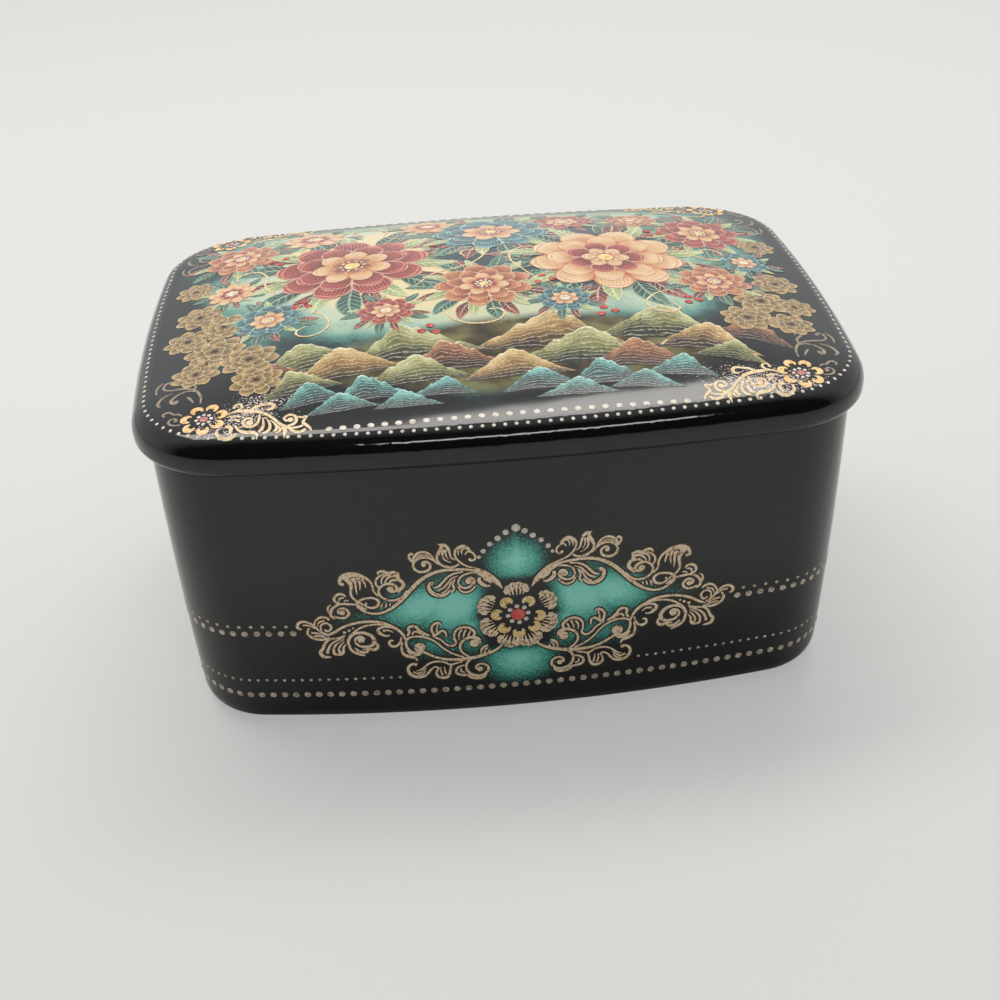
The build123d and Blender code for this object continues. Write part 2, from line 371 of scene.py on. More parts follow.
lower_scroll = [
    [(-2.6, 15.8, 0.15), (-3.5, 14.8, 0.45), (-5.0, 13.95, 0.6), (-6.7, 13.4, 0.65), (-8.7, 13.05, 0.75),
     (-10.8, 13.0, 0.6), (-13.0, 13.4, 0.5), (-14.8, 14.3, 0.5), (-15.9, 15.0, 0.5), (-16.9, 15.1, 0.5)],
    [(-9.3, 13.4, 0.35), (-11.2, 14.4, 0.35), (-12.6, 15.6, 0.35), (-13.7, 16.9, 0.35),
     (-14.8, 17.8, 0.4), (-16.0, 18.3, 0.42), (-17.4, 18.4, 0.42), (-18.4, 18.0, 0.42),
     (-18.7, 17.0, 0.42), (-18.4, 15.9, 0.45), (-17.7, 15.1, 0.5), (-16.7, 14.9, 0.6)],
    [(-19.3, 17.4, 0.3), (-19.5, 15.8, 0.42), (-19.1, 14.7, 0.6), (-18.2, 14.2, 0.7), (-17.4, 13.9, 0.5),
     (-17.05, 13.2, 0.15)],
    [(-18.6, 15.6, 0.4), (-17.9, 14.8, 0.6), (-16.8, 14.55, 0.5), (-16.3, 14.9, 0.3)],
    [(-18.4, 18.6, 0.3), (-18.0, 19.4, 0.5), (-18.1, 20.2, 0.45), (-17.6, 20.6, 0.55),
     (-16.8, 20.4, 0.55), (-16.4, 19.7, 0.5), (-15.6, 19.0, 0.45), (-14.8, 18.4, 0.4)],
    [(-17.6, 18.8, 0.3), (-17.2, 19.4, 0.4), (-16.4, 19.2, 0.4), (-15.6, 18.5, 0.3)],
    [(-13.9, 18.3, 0.4), (-14.3, 19.4, 0.45), (-14.2, 20.3, 0.5), (-13.6, 20.9, 0.5), (-13.0, 21.0, 0.35),
     (-12.8, 20.6, 0.2)],
    [(-14.2, 18.2, 0.5), (-13.3, 18.8, 0.5), (-12.6, 19.3, 0.45), (-12.1, 18.9, 0.4),
     (-12.0, 18.0, 0.25)],
    [(-13.5, 19.0, 0.3), (-13.4, 20.1, 0.35), (-13.2, 20.7, 0.25)],
    [(-13.8, 18.0, 0.4), (-12.9, 17.4, 0.35), (-12.2, 16.5, 0.35), (-11.4, 16.0, 0.4),
     (-10.7, 16.2, 0.45), (-10.5, 16.9, 0.38), (-10.9, 17.5, 0.25)],
    [(-10.4, 16.6, 0.3), (-10.7, 17.7, 0.35), (-10.5, 18.9, 0.4), (-9.7, 19.6, 0.5), (-8.7, 19.7, 0.55),
     (-7.8, 19.2, 0.55), (-7.3, 18.4, 0.5), (-7.6, 17.6, 0.4)],
    [(-9.9, 17.3, 0.15), (-9.9, 18.3, 0.3), (-9.4, 19.2, 0.35)],
    [(-9.2, 17.5, 0.15), (-9.1, 18.2, 0.3), (-8.7, 19.2, 0.35)],
    [(-8.5, 17.5, 0.15), (-8.3, 18.1, 0.3), (-8.0, 18.8, 0.3)],
    [(-8.4, 13.4, 0.35), (-9.4, 14.3, 0.38), (-9.85, 15.4, 0.42), (-9.6, 16.5, 0.48), (-8.7, 17.3, 0.55),
     (-7.6, 17.5, 0.65), (-6.8, 17.0, 0.85), (-6.7, 16.2, 0.9)],
    [(-6.4, 13.9, 0.3), (-6.3, 14.8, 0.4), (-5.7, 15.4, 0.5), (-5.2, 15.6, 0.3)],
    [(-5.8, 13.9, 0.3), (-5.7, 14.6, 0.38), (-5.3, 15.1, 0.35)],
    [(-5.2, 14.0, 0.3), (-5.0, 14.6, 0.3)],
]
lower_leaves = [
    [(-17.1, 12.6, 0.25), (-17.9, 12.6, 0.48), (-18.6, 12.0, 0.5), (-18.7, 11.1, 0.55),
     (-18.2, 10.2, 0.65), (-17.2, 9.7, 0.65), (-16.2, 9.8, 0.55), (-15.4, 10.5, 0.42),
     (-14.8, 11.3, 0.32), (-14.0, 11.7, 0.3), (-13.5, 11.3, 0.25)],
    [(-17.4, 11.0, 0.12), (-16.6, 11.3, 0.3), (-15.8, 12.0, 0.35), (-15.0, 12.6, 0.35),
     (-13.8, 12.85, 0.35), (-12.6, 12.6, 0.35), (-11.6, 12.0, 0.42), (-10.7, 12.2, 0.35),
     (-9.6, 12.5, 0.3)],
    [(-17.9, 10.9, 0.3), (-17.2, 10.5, 0.38), (-16.4, 10.9, 0.32), (-15.7, 11.6, 0.2)],
    [(-17.2, 10.1, 0.2), (-16.4, 10.3, 0.32), (-15.8, 11.0, 0.2)],
    [(-13.6, 11.5, 0.3), (-14.0, 10.6, 0.42), (-14.0, 9.9, 0.5), (-13.4, 9.35, 0.58), (-12.4, 9.3, 0.58),
     (-11.9, 10.0, 0.45), (-11.7, 10.9, 0.4), (-11.5, 11.9, 0.35)],
    [(-13.2, 11.6, 0.15), (-13.3, 10.7, 0.3), (-13.0, 9.8, 0.38)],
    [(-12.7, 11.6, 0.15), (-12.6, 10.7, 0.3), (-12.4, 9.9, 0.38)],
    [(-8.2, 12.9, 0.4), (-8.9, 12.0, 0.42), (-9.0, 11.0, 0.45), (-8.6, 10.0, 0.5), (-7.7, 9.3, 0.6),
     (-6.6, 9.15, 0.6), (-5.7, 9.7, 0.55), (-5.3, 10.6, 0.5), (-5.7, 11.4, 0.45), (-6.5, 11.7, 0.42),
     (-7.3, 11.3, 0.4), (-7.4, 10.6, 0.35)],
    [(-9.3, 11.7, 0.3), (-10.2, 11.4, 0.42), (-10.7, 10.8, 0.42), (-10.6, 10.0, 0.48), (-9.9, 9.6, 0.55),
     (-9.0, 9.5, 0.42)],
    [(-8.9, 9.6, 0.4), (-8.3, 8.9, 0.48), (-7.2, 8.6, 0.48), (-6.3, 8.7, 0.42), (-5.7, 9.2, 0.3)],
    [(-9.9, 11.1, 0.15), (-9.9, 10.4, 0.32), (-9.3, 10.1, 0.25)],
]
outer_scroll = [
    [(-18.6, 17.6, 0.3), (-19.0, 18.8, 0.42), (-19.8, 20.0, 0.55), (-21.3, 21.1, 0.6), (-23.0, 21.8, 0.6),
     (-25.0, 22.0, 0.52), (-27.0, 21.7, 0.5), (-28.8, 21.0, 0.5), (-30.3, 20.0, 0.5), (-31.5, 19.4, 0.4)],
    [(-20.8, 20.9, 0.3), (-22.3, 21.25, 0.35), (-24.0, 21.3, 0.35), (-25.6, 20.9, 0.38),
     (-27.0, 19.9, 0.4), (-27.9, 18.8, 0.42), (-28.2, 17.8, 0.42), (-27.9, 16.9, 0.4)],
    [(-28.1, 17.0, 0.4), (-28.0, 18.3, 0.45), (-27.3, 19.3, 0.5), (-26.1, 19.75, 0.58),
     (-24.9, 19.5, 0.65), (-24.0, 18.6, 0.7), (-23.9, 17.6, 0.75), (-24.5, 16.9, 0.6), (-25.6, 16.8, 0.5),
     (-26.6, 17.2, 0.45), (-27.0, 18.1, 0.4), (-26.6, 18.8, 0.4), (-25.8, 18.9, 0.4), (-25.4, 18.3, 0.4)],
    [(-28.1, 17.2, 0.35), (-27.7, 16.1, 0.48), (-26.8, 15.4, 0.55), (-25.9, 15.0, 0.42),
     (-25.6, 14.9, 0.15)],
    [(-27.2, 16.6, 0.3), (-26.5, 15.9, 0.48), (-25.5, 15.6, 0.58), (-24.9, 16.0, 0.4)],
    [(-25.9, 16.2, 0.3), (-24.9, 16.25, 0.5), (-23.9, 16.1, 0.65), (-23.4, 16.6, 0.55),
     (-23.4, 17.2, 0.42), (-23.8, 17.6, 0.3)],
    [(-28.5, 19.3, 0.3), (-29.8, 18.8, 0.38), (-31.2, 18.5, 0.4), (-32.0, 17.7, 0.48),
     (-32.4, 16.7, 0.55), (-32.9, 15.8, 0.65), (-32.5, 15.0, 0.65), (-31.6, 14.8, 0.4),
     (-31.2, 14.75, 0.15)],
    [(-28.7, 18.9, 0.2), (-30.0, 18.3, 0.32), (-31.0, 17.5, 0.38), (-31.5, 16.6, 0.45),
     (-31.8, 15.6, 0.55)],
    [(-28.8, 18.5, 0.2), (-29.8, 17.8, 0.32), (-30.5, 16.9, 0.38), (-30.7, 16.0, 0.48),
     (-30.6, 15.4, 0.5)],
    [(-28.8, 18.0, 0.2), (-29.4, 17.3, 0.32), (-29.8, 16.5, 0.38), (-29.7, 15.6, 0.5)],
    [(-28.6, 17.4, 0.25), (-29.0, 16.8, 0.38), (-29.1, 16.0, 0.48), (-29.3, 15.5, 0.55),
     (-30.0, 15.3, 0.5), (-30.7, 15.4, 0.4)],
    [(-19.3, 18.5, 0.3), (-19.7, 17.3, 0.42), (-20.2, 16.7, 0.5), (-20.9, 16.6, 0.55), (-21.4, 17.1, 0.5),
     (-21.2, 17.8, 0.4), (-20.7, 17.8, 0.25)],
    [(-20.2, 20.3, 0.3), (-21.2, 20.7, 0.38), (-22.4, 20.7, 0.42), (-23.1, 20.1, 0.62),
     (-22.7, 19.4, 0.65), (-22.0, 18.9, 0.42), (-21.2, 18.95, 0.2)],
    [(-20.6, 19.5, 0.15), (-21.3, 20.0, 0.3), (-22.3, 20.0, 0.5)],
]
lower_tip = [
    [(-31.5, 19.6, 0.4), (-32.6, 20.4, 0.38), (-33.3, 21.3, 0.38), (-34.1, 22.1, 0.42),
     (-35.2, 22.4, 0.48), (-36.0, 21.9, 0.55), (-36.1, 21.2, 0.5), (-35.5, 20.8, 0.3)],
    [(-33.2, 20.9, 0.2), (-34.3, 21.6, 0.32), (-35.2, 21.7, 0.38)],
    [(-34.2, 21.1, 0.3), (-34.6, 20.2, 0.48), (-34.2, 19.3, 0.52), (-33.2, 18.7, 0.52),
     (-32.0, 18.6, 0.48), (-31.0, 18.9, 0.4)],
    [(-31.9, 19.4, 0.2), (-32.9, 19.9, 0.38), (-34.0, 20.1, 0.4)],
    [(-31.6, 19.0, 0.2), (-32.6, 19.3, 0.32), (-33.6, 19.4, 0.4)],
    [(-33.4, 21.6, 0.3), (-33.0, 22.6, 0.38), (-32.2, 23.2, 0.48), (-31.3, 23.1, 0.55),
     (-30.8, 22.6, 0.3)],
    [(-32.9, 21.3, 0.2), (-32.5, 22.2, 0.32), (-31.6, 22.5, 0.38)],
    [(-32.3, 20.5, 0.3), (-32.3, 21.5, 0.35), (-31.5, 22.0, 0.38), (-30.8, 21.6, 0.38),
     (-30.7, 20.8, 0.42), (-31.3, 20.3, 0.4), (-31.8, 20.7, 0.35)],
]
scroll_lines = (
    upper_scroll + crest_leaves + inner_leaves + middle_spiral + plume + upper_tip
    + lower_scroll + lower_leaves + outer_scroll + lower_tip
)
# round ends of the spirals: (along, up, radius)
scroll_buds = [
    (-14.75, 32.75, 0.38), (-7.75, 29.0, 0.58), (-20.45, 28.35, 0.55), (-28.55, 24.05, 0.5),
    (-16.5, 16.1, 0.95), (-7.45, 16.2, 0.8), (-26.0, 18.25, 0.6), (-6.75, 10.6, 0.5), (-7.4, 33.25, 0.24),
    (-13.75, 28.95, 0.3), (-16.55, 34.95, 0.25), (-17.4, 12.45, 0.3), (-28.0, 29.75, 0.3),
]
stem_dots = [(-27.1, 20.75, 0.2), (-27.8, 20.3, 0.26), (-28.6, 19.9, 0.3)]
crest_dots = [(0.15, 38.55, 0.75), (1.5, 37.85, 0.53), (2.8, 36.85, 0.53), (4.1, 35.85, 0.46),
              (5.2, 34.6, 0.46), (5.9, 33.5, 0.35)]
# flower of the wall: its height, and the radii of its disc, its ring of beads and a bead
flower_height = 21.5
disc_radius = 1.25
bead_ring_radius = 1.66
bead_radius = 0.42
# where its petals stand: (along, up)
inner_petals = [
    (-1.83, 24.0), (1.75, 23.95), (-3.42, 21.75), (3.5, 20.9), (-2.35, 18.9), (2.7, 18.7), (0.05, 17.65),
]
outer_petals = [
    (-0.15, 26.5), (4.85, 23.95), (4.95, 19.3), (1.9, 16.3), (-1.6, 16.3), (-4.75, 19.3), (-5.0, 23.9),
]

# bead rows of the wall: (name, height, pitch, radius, how far each side of the middle stays free)
wall_rows = [
    ("foot_beads", 6.55, 1.95, 0.6, 0.0),
    ("foot_seeds", 9.85, 1.5, 0.29, 18.9),
    ("belt_beads", 19.95, 2.0, 0.58, 36.6),
    ("belt_seeds", 21.4, 1.95, 0.31, 36.6),
]
# border of the lid, seen from above: lines of (along, across, width) for the left front corner
front_spray = [
    [(-42.9, -35.4, 0.2), (-42.1, -34.9, 0.45), (-41.2, -34.6, 0.5), (-40.6, -34.0, 0.48),
     (-40.7, -33.4, 0.45), (-41.2, -33.0, 0.42), (-41.7, -33.3, 0.38), (-41.8, -33.8, 0.25)],
    [(-41.5, -34.8, 0.4), (-40.0, -35.0, 0.85), (-38.6, -35.3, 0.85), (-37.2, -36.0, 0.65),
     (-36.1, -37.0, 0.5), (-35.3, -38.0, 0.5), (-34.5, -39.0, 0.6), (-33.6, -39.7, 0.7),
     (-32.6, -40.2, 0.6)],
    [(-39.5, -35.0, 0.3), (-38.4, -34.3, 0.6), (-37.2, -34.0, 0.5), (-36.2, -33.9, 0.65),
     (-35.7, -34.5, 0.65), (-36.0, -35.2, 0.5), (-36.8, -35.2, 0.25)],
    [(-42.6, -35.9, 0.15), (-41.6, -35.9, 0.45), (-40.7, -36.3, 0.5)],
    [(-42.2, -36.8, 0.15), (-41.4, -36.9, 0.42), (-40.8, -37.4, 0.4)],
    [(-37.8, -36.2, 0.3), (-37.9, -37.4, 0.45), (-38.3, -38.4, 0.5), (-39.2, -38.8, 0.6),
     (-40.1, -38.3, 0.6), (-40.2, -37.3, 0.5), (-39.5, -36.8, 0.5), (-38.8, -37.2, 0.45)],
    [(-41.5, -38.2, 0.4), (-41.0, -39.2, 0.5), (-40.0, -39.9, 0.7), (-38.8, -40.1, 0.8),
     (-38.2, -40.6, 0.5), (-38.2, -41.4, 0.15)],
    [(-37.3, -37.0, 0.15), (-37.2, -38.3, 0.4), (-37.4, -39.5, 0.6), (-37.9, -40.1, 0.5)],
    [(-36.9, -37.0, 0.15), (-36.3, -38.3, 0.4), (-36.2, -39.4, 0.5), (-36.6, -40.2, 0.6),
     (-37.3, -40.5, 0.4)],
    [(-36.1, -37.8, 0.15), (-35.4, -38.8, 0.4), (-35.2, -39.8, 0.5), (-35.6, -40.4, 0.5)],
    [(-35.2, -38.9, 0.15), (-34.75, -39.7, 0.42), (-34.7, -40.3, 0.45), (-35.3, -40.7, 0.35)],
    [(-34.4, -39.6, 0.4), (-33.9, -40.4, 0.7), (-34.0, -41.1, 0.5), (-34.1, -41.7, 0.12)],
    [(-43.0, -38.1, 0.8), (-42.3, -38.4, 0.75), (-42.1, -39.3, 0.6), (-42.3, -39.9, 0.4)],
    [(-44.1, -38.6, 0.25), (-44.3, -39.4, 0.5), (-43.8, -40.2, 0.6), (-42.9, -40.7, 0.7),
     (-41.9, -40.5, 0.7), (-41.2, -40.1, 0.4)],
    [(-33.5, -39.4, 0.4), (-32.6, -39.1, 0.6), (-32.2, -38.3, 0.55), (-32.4, -37.4, 0.5),
     (-33.1, -37.0, 0.5), (-33.8, -37.3, 0.5), (-34.0, -37.9, 0.42), (-33.6, -38.4, 0.4)],
    [(-32.0, -37.5, 0.3), (-31.3, -37.8, 0.5), (-30.7, -37.6, 0.3), (-31.0, -38.4, 0.5),
     (-31.2, -38.9, 0.5), (-30.7, -39.6, 0.6), (-30.2, -40.3, 0.5), (-29.9, -41.0, 0.12)],
    [(-33.2, -40.2, 0.5), (-32.4, -40.8, 0.6), (-31.5, -40.9, 0.6), (-30.8, -40.4, 0.5)],
    [(-32.9, -39.9, 0.4), (-31.9, -39.9, 0.5), (-31.2, -39.6, 0.4)],
]
end_spray = [
    [(-47.2, -31.0, 0.25), (-47.2, -29.5, 0.4), (-47.6, -28.0, 0.5), (-48.3, -26.7, 0.5),
     (-49.3, -25.9, 0.5), (-51.0, -25.3, 0.5), (-52.6, -25.0, 0.42), (-53.5, -24.2, 0.42),
     (-53.6, -23.0, 0.48), (-52.9, -22.2, 0.5), (-52.2, -22.7, 0.4)],
    [(-54.6, -25.5, 0.25), (-54.8, -24.0, 0.42), (-54.5, -22.8, 0.42), (-53.9, -21.9, 0.25)],
    [(-48.4, -26.6, 0.4), (-48.4, -25.2, 0.5), (-49.1, -24.2, 0.5), (-49.6, -23.4, 0.5),
     (-49.0, -22.8, 0.42), (-48.4, -23.5, 0.3)],
    [(-48.0, -27.2, 0.4), (-49.3, -26.6, 0.42), (-50.5, -26.8, 0.42), (-51.5, -27.6, 0.5),
     (-52.0, -28.7, 0.65), (-51.3, -29.6, 0.6), (-50.9, -28.9, 0.4)],
    [(-52.0, -26.2, 0.25), (-53.2, -26.8, 0.5), (-53.9, -27.8, 0.6), (-54.1, -29.0, 0.6),
     (-53.6, -29.8, 0.35)],
    [(-48.3, -30.4, 0.2), (-48.9, -29.2, 0.5), (-49.4, -28.4, 0.4)],
    [(-50.0, -35.9, 0.25), (-51.3, -35.6, 0.42), (-51.9, -34.6, 0.42), (-51.3, -33.9, 0.42),
     (-50.6, -34.3, 0.4)],
    [(-49.9, -33.6, 0.25), (-50.4, -33.0, 0.38), (-51.2, -32.8, 0.42), (-52.0, -31.9, 0.48),
     (-52.9, -32.2, 0.5), (-52.7, -33.0, 0.3)],
]
spray_buds = [
    (-39.3, -37.9, 0.55), (-33.1, -38.1, 0.5), (-41.75, -33.75, 0.28), (-52.4, -22.8, 0.4),
    (-51.1, -29.1, 0.4), (-50.8, -34.6, 0.35),
]
# flower in the left front corner, and how far out its petals and its beads stand
corner_flower = (-46.4, -35.5)
corner_petal_reach = 2.5
corner_bead_reach = 1.15
# bead rows of the lid: (height, pitch, radius) round the shoulder
shoulder_row = (57.55, 1.72, 0.31)
# and (across, pitch, radius, reach to each side) along both long edges
front_row = (-41.0, 2.1, 0.56, 28.5)

# blooms of the panel: (colours, along, across, size, turn)
blooms = [
    ("slate", 3.0, 25.0, 11.0, 12),
    ("crimson", -23.0, 11.0, 14.0, 0),
    ("cream", 22.0, 6.5, 14.0, 20),
    ("rust", -0.5, -3.0, 8.5, 8),
    ("crimson", 41.5, 19.5, 8.0, 0),
    ("rust", -43.5, 24.0, 7.0, 30),
    ("slate", -37.5, -6.5, 6.0, 0),
    ("rust", 39.5, -3.5, 6.5, 15),
    ("crimson", -17.5, -10.0, 5.0, 0),
    ("cream", -8.5, 33.5, 5.5, 0),
    ("crimson", 17.0, 29.5, 6.0, 10),
    ("slate", 12.5, -10.5, 4.6, 0),
    ("cream", -30.0, 30.0, 6.0, 14),
    ("rust", 30.0, 27.5, 5.0, 22),
    ("cream", -44.5, 8.0, 4.4, 0),
    ("slate", 47.0, 6.0, 4.6, 8),
]
# small golden blooms at both ends: (along, across, size)
golden_blooms = [
    (-49.6, 0.5, 4.4), (-45.0, -5.5, 4.6), (-51.0, -8.5, 4.2), (-46.0, -14.5, 5.2), (-40.0, -20.0, 5.0),
    (-48.6, -21.5, 4.2), (-38.6, -27.0, 4.4), (-51.4, 12.5, 3.6),
    (50.4, -3.0, 4.2), (46.0, -11.0, 4.8), (51.4, -12.6, 3.6), (42.0, -18.0, 4.6), (49.0, -19.6, 4.0),
    (51.2, 14.5, 3.6),
]
# rings of their petals, from outside in: (petals, foot, length, width) as shares of their size
golden_rings = [(8, 0.34, 0.66, 0.56), (7, 0.18, 0.52, 0.44), (5, 0.02, 0.36, 0.36)]
# hills and water in front, from the back row to the front: (finish, along, across, turn, length, width)
land = [
    ("moss", -30.0, -26.0, 12, 8.5, 19.0), ("moss", -13.0, -25.5, 4, 10.5, 23.0),
    ("ochre", 8.0, -25.5, -3, 11.5, 26.0), ("moss", 27.0, -25.0, -9, 11.5, 22.0),
    ("earth", 41.0, -26.0, -22, 8.0, 14.0), ("earth", -36.0, -28.5, 18, 6.5, 12.0),
    ("ochre", -24.0, -29.0, 9, 8.5, 20.0), ("earth", -7.0, -29.5, 2, 8.5, 18.0),
    ("moss", 13.0, -30.0, -3, 10.0, 24.0), ("ochre", 33.0, -29.0, -14, 9.0, 18.0),
    ("moss", -31.0, -32.0, 12, 6.6, 13.0), ("moss", -14.0, -32.0, 3, 7.4, 19.0),
    ("ochre", 2.5, -32.5, 2, 7.4, 18.0), ("earth", 22.5, -32.0, -7, 7.6, 18.0),
    ("moss", 36.0, -31.5, -16, 6.0, 12.0), ("water", -29.5, -35.0, 10, 5.6, 11.0),
    ("water", -20.5, -35.2, 4, 6.4, 13.0), ("water", -9.5, -35.6, -2, 4.6, 11.0),
    ("water", 6.0, -35.8, 3, 5.4, 13.0), ("water", 16.5, -35.6, -2, 6.4, 14.0),
    ("water", 27.5, -34.8, -9, 5.6, 12.0), ("water", -25.0, -37.2, 6, 4.4, 12.0),
    ("water", -15.0, -37.6, 0, 4.2, 11.0), ("water", 11.0, -37.8, 0, 4.2, 13.0),
    ("water", 22.0, -37.2, -5, 4.4, 12.0),
]
# heights of a lobe's columns, from its left foot to its right
lobe_ridges = (
    (0.05, 0.22, 0.40, 0.46, 0.62, 0.70, 0.84, 0.86, 0.98, 1.0, 0.92, 0.90, 0.74, 0.66, 0.52, 0.44, 0.26,
     0.18, 0.04),
    (0.04, 0.30, 0.34, 0.56, 0.60, 0.78, 0.94, 1.0, 0.96, 0.84, 0.86, 0.72, 0.60, 0.62, 0.46, 0.30, 0.30,
     0.14, 0.04),
    (0.05, 0.14, 0.32, 0.34, 0.50, 0.64, 0.62, 0.78, 0.82, 0.94, 1.0, 0.96, 0.82, 0.80, 0.62, 0.40, 0.38,
     0.22, 0.05),
)
# tendrils between the blooms: lines of (along, across, width)
tendrils = [
    [(-12.0, -1.0, 0.2), (-9.0, 3.0, 0.35), (-4.5, 5.0, 0.4), (-0.5, 8.5, 0.4), (0.5, 12.0, 0.4),
     (-1.5, 14.0, 0.4), (-3.5, 12.5, 0.4), (-2.8, 10.6, 0.3)],
    [(9.0, -2.5, 0.2), (6.5, 3.0, 0.35), (5.0, 8.0, 0.4), (6.5, 12.5, 0.4), (9.5, 13.5, 0.4),
     (10.6, 11.4, 0.4), (9.0, 10.0, 0.3)],
    [(-36.0, 3.5, 0.2), (-38.5, 8.0, 0.35), (-38.5, 13.0, 0.4), (-41.0, 16.0, 0.4), (-43.8, 15.0, 0.4),
     (-43.6, 12.8, 0.3)],
    [(35.0, 12.0, 0.2), (38.0, 8.0, 0.35), (42.5, 6.5, 0.4), (43.5, 10.0, 0.4), (41.0, 11.5, 0.4),
     (39.8, 10.2, 0.3)],
    [(-30.0, -6.0, 0.2), (-27.5, -9.5, 0.35), (-27.5, -13.5, 0.4), (-30.5, -15.5, 0.4),
     (-32.6, -13.4, 0.4), (-31.0, -11.6, 0.3)],
    [(31.0, -7.5, 0.2), (27.5, -10.0, 0.35), (26.0, -14.0, 0.4), (28.6, -16.6, 0.4), (31.2, -15.2, 0.4),
     (30.2, -13.0, 0.3)],
    [(-8.0, -11.5, 0.2), (-6.5, -15.0, 0.35), (-2.5, -17.0, 0.4), (1.5, -15.5, 0.4), (1.5, -12.8, 0.4),
     (-0.6, -12.6, 0.3)],
    [(-14.0, 24.5, 0.2), (-17.0, 28.0, 0.35), (-16.5, 32.5, 0.4), (-20.0, 35.0, 0.4), (-22.8, 33.0, 0.4),
     (-21.2, 31.0, 0.3)],
    [(33.0, 33.5, 0.2), (37.5, 32.5, 0.35), (41.5, 30.0, 0.4), (45.0, 31.0, 0.4), (44.5, 33.5, 0.3)],
]
# berries: (along, across)
berries = [
    (-31.5, -1.5), (-33.0, -3.0), (-30.6, -3.6), (9.8, -1.0), (11.4, -2.6), (8.8, -3.6), (33.5, -10.5),
    (35.2, -11.6), (33.2, -12.6), (-10.5, -16.5), (-12.0, -18.0), (-9.6, -18.6), (18.5, -14.5),
    (20.2, -15.8), (17.8, -16.6), (-36.0, 17.5), (-37.6, 19.2), (-35.2, 19.8), (32.0, 17.5), (33.8, 18.6),
    (31.8, 19.8), (-6.5, 16.5), (-8.2, 18.0),
]
# rings of petals of a large bloom, in the same way
bloom_rings = [
    (9, 0.36, 0.64, 0.52),
    (8, 0.24, 0.52, 0.42),
    (7, 0.12, 0.40, 0.32),
    (6, 0.03, 0.28, 0.22),
]

# how far across the lid leaves may reach before the bead rows
leaf_reach = 38.8
bead_height_share = 0.14
heart_bead_radius = 0.3
corner_bead_radius = 0.32
corner_disc_radius = 0.72
berry_radius = 0.72
line_width_share = 0.92
curve_steps = 4
# dark outline that each scroll line stands on: a share of its width, and a border
outline_share = 1.25
outline_border = 0.42
# lifts of the wall's ornament off the glaze, and of each coat over the last
outline_lift = 0.004
scroll_lift = 0.030
flower_lift = 0.01
lift_step = 0.004
land_lift = 0.002
land_step = 0.0012
paint_thickness = 0.03
panel_thickness = 0.02
land_thickness = 0.01
# how far off the wall and the lid a piece is drawn before it is laid on
wall_drawing_distance = 70
lid_drawing_height = 80

# coats of paint on the lid: the first one of a piece, and how many it takes
lid_coats = {
    "end_sprays": (2, 4),
    "front_sprays": (6, 5),
    "wine_leaves": (8, 3),
    "corner_petals": (9, 1),
    "dark_leaves": (9, 4),
    "pale_leaves": (13, 3),
    "tendrils": (16, 1),
}
golden_coat = 10
bloom_coat = 17

# leaves round a bloom: (piece, turn, number at a big bloom, at a small one, foot, length, width)
leaf_rings = (
    ("wine_leaves", 14, 8, 6, 0.80, 0.74, 0.34),
    ("dark_leaves", 26, 7, 5, 0.75, 0.85, 0.40),
    ("pale_leaves", 4, 7, 5, 0.66, 0.70, 0.28),
)
big_bloom = 7
# finishes of a bloom's rings, from outside in
ring_shades = {
    "crimson": ("crimson", "crimson", "cream", "rust"),
    "cream": ("cream", "cream", "crimson", "cream"),
    "slate": ("slate", "slate", "cream", "rust"),
    "rust": ("rust", "rust", "cream", "crimson"),
}

# row widths of a petal from foot to tip, and heights of its columns
petal_widths = (0.3, 0.52, 0.7, 0.84, 0.94, 1.0, 1.0, 0.95, 0.82, 0.6)
petal_ridge = (0.87, 0.93, 0.97, 0.99, 1, 0.99, 0.97, 0.93, 0.87)
leaf_widths = (0.06, 0.42, 0.68, 0.82, 0.84, 0.76, 0.6, 0.38, 0.04)
lobe_widths = (0.92, 0.96, 1.0, 1.0, 0.97, 0.9, 0.8)

# fired colours: a dark, a middle and a light tone, and the roughness
enamel_tones = {
    "scroll_gold": (((0.40, 0.23, 0.12), (0.94, 0.70, 0.46), (0.97, 0.90, 0.76)), 0.45),
    "petal_yellow": (((0.55, 0.30, 0.06), (0.92, 0.66, 0.27), (0.96, 0.84, 0.55)), 0.4),
    "corner_apricot": (((0.60, 0.30, 0.08), (0.94, 0.60, 0.24), (0.97, 0.82, 0.54)), 0.4),
    "bead_white": (((0.52, 0.42, 0.33), (0.80, 0.72, 0.62), (0.93, 0.89, 0.82)), 0.4),
    "bead_tan": (((0.24, 0.17, 0.11), (0.56, 0.46, 0.35), (0.88, 0.80, 0.68)), 0.42),
    "disc_red": (((0.60, 0.07, 0.05), (0.78, 0.11, 0.08), (0.86, 0.22, 0.16)), 0.3),
    "scroll_shade": (((0.010, 0.009, 0.007), (0.030, 0.024, 0.014), (0.060, 0.048, 0.030)), 0.2),
    "border_gold": (((0.55, 0.34, 0.14), (0.84, 0.62, 0.34), (0.95, 0.84, 0.62)), 0.38),
    "border_dim_gold": (((0.14, 0.11, 0.08), (0.30, 0.24, 0.17), (0.46, 0.38, 0.27)), 0.4),
    "berry_red": (((0.30, 0.02, 0.02), (0.55, 0.05, 0.04), (0.75, 0.20, 0.14)), 0.25),
    "corner_pink": (((0.40, 0.10, 0.09), (0.60, 0.20, 0.18), (0.75, 0.36, 0.32)), 0.3),
}
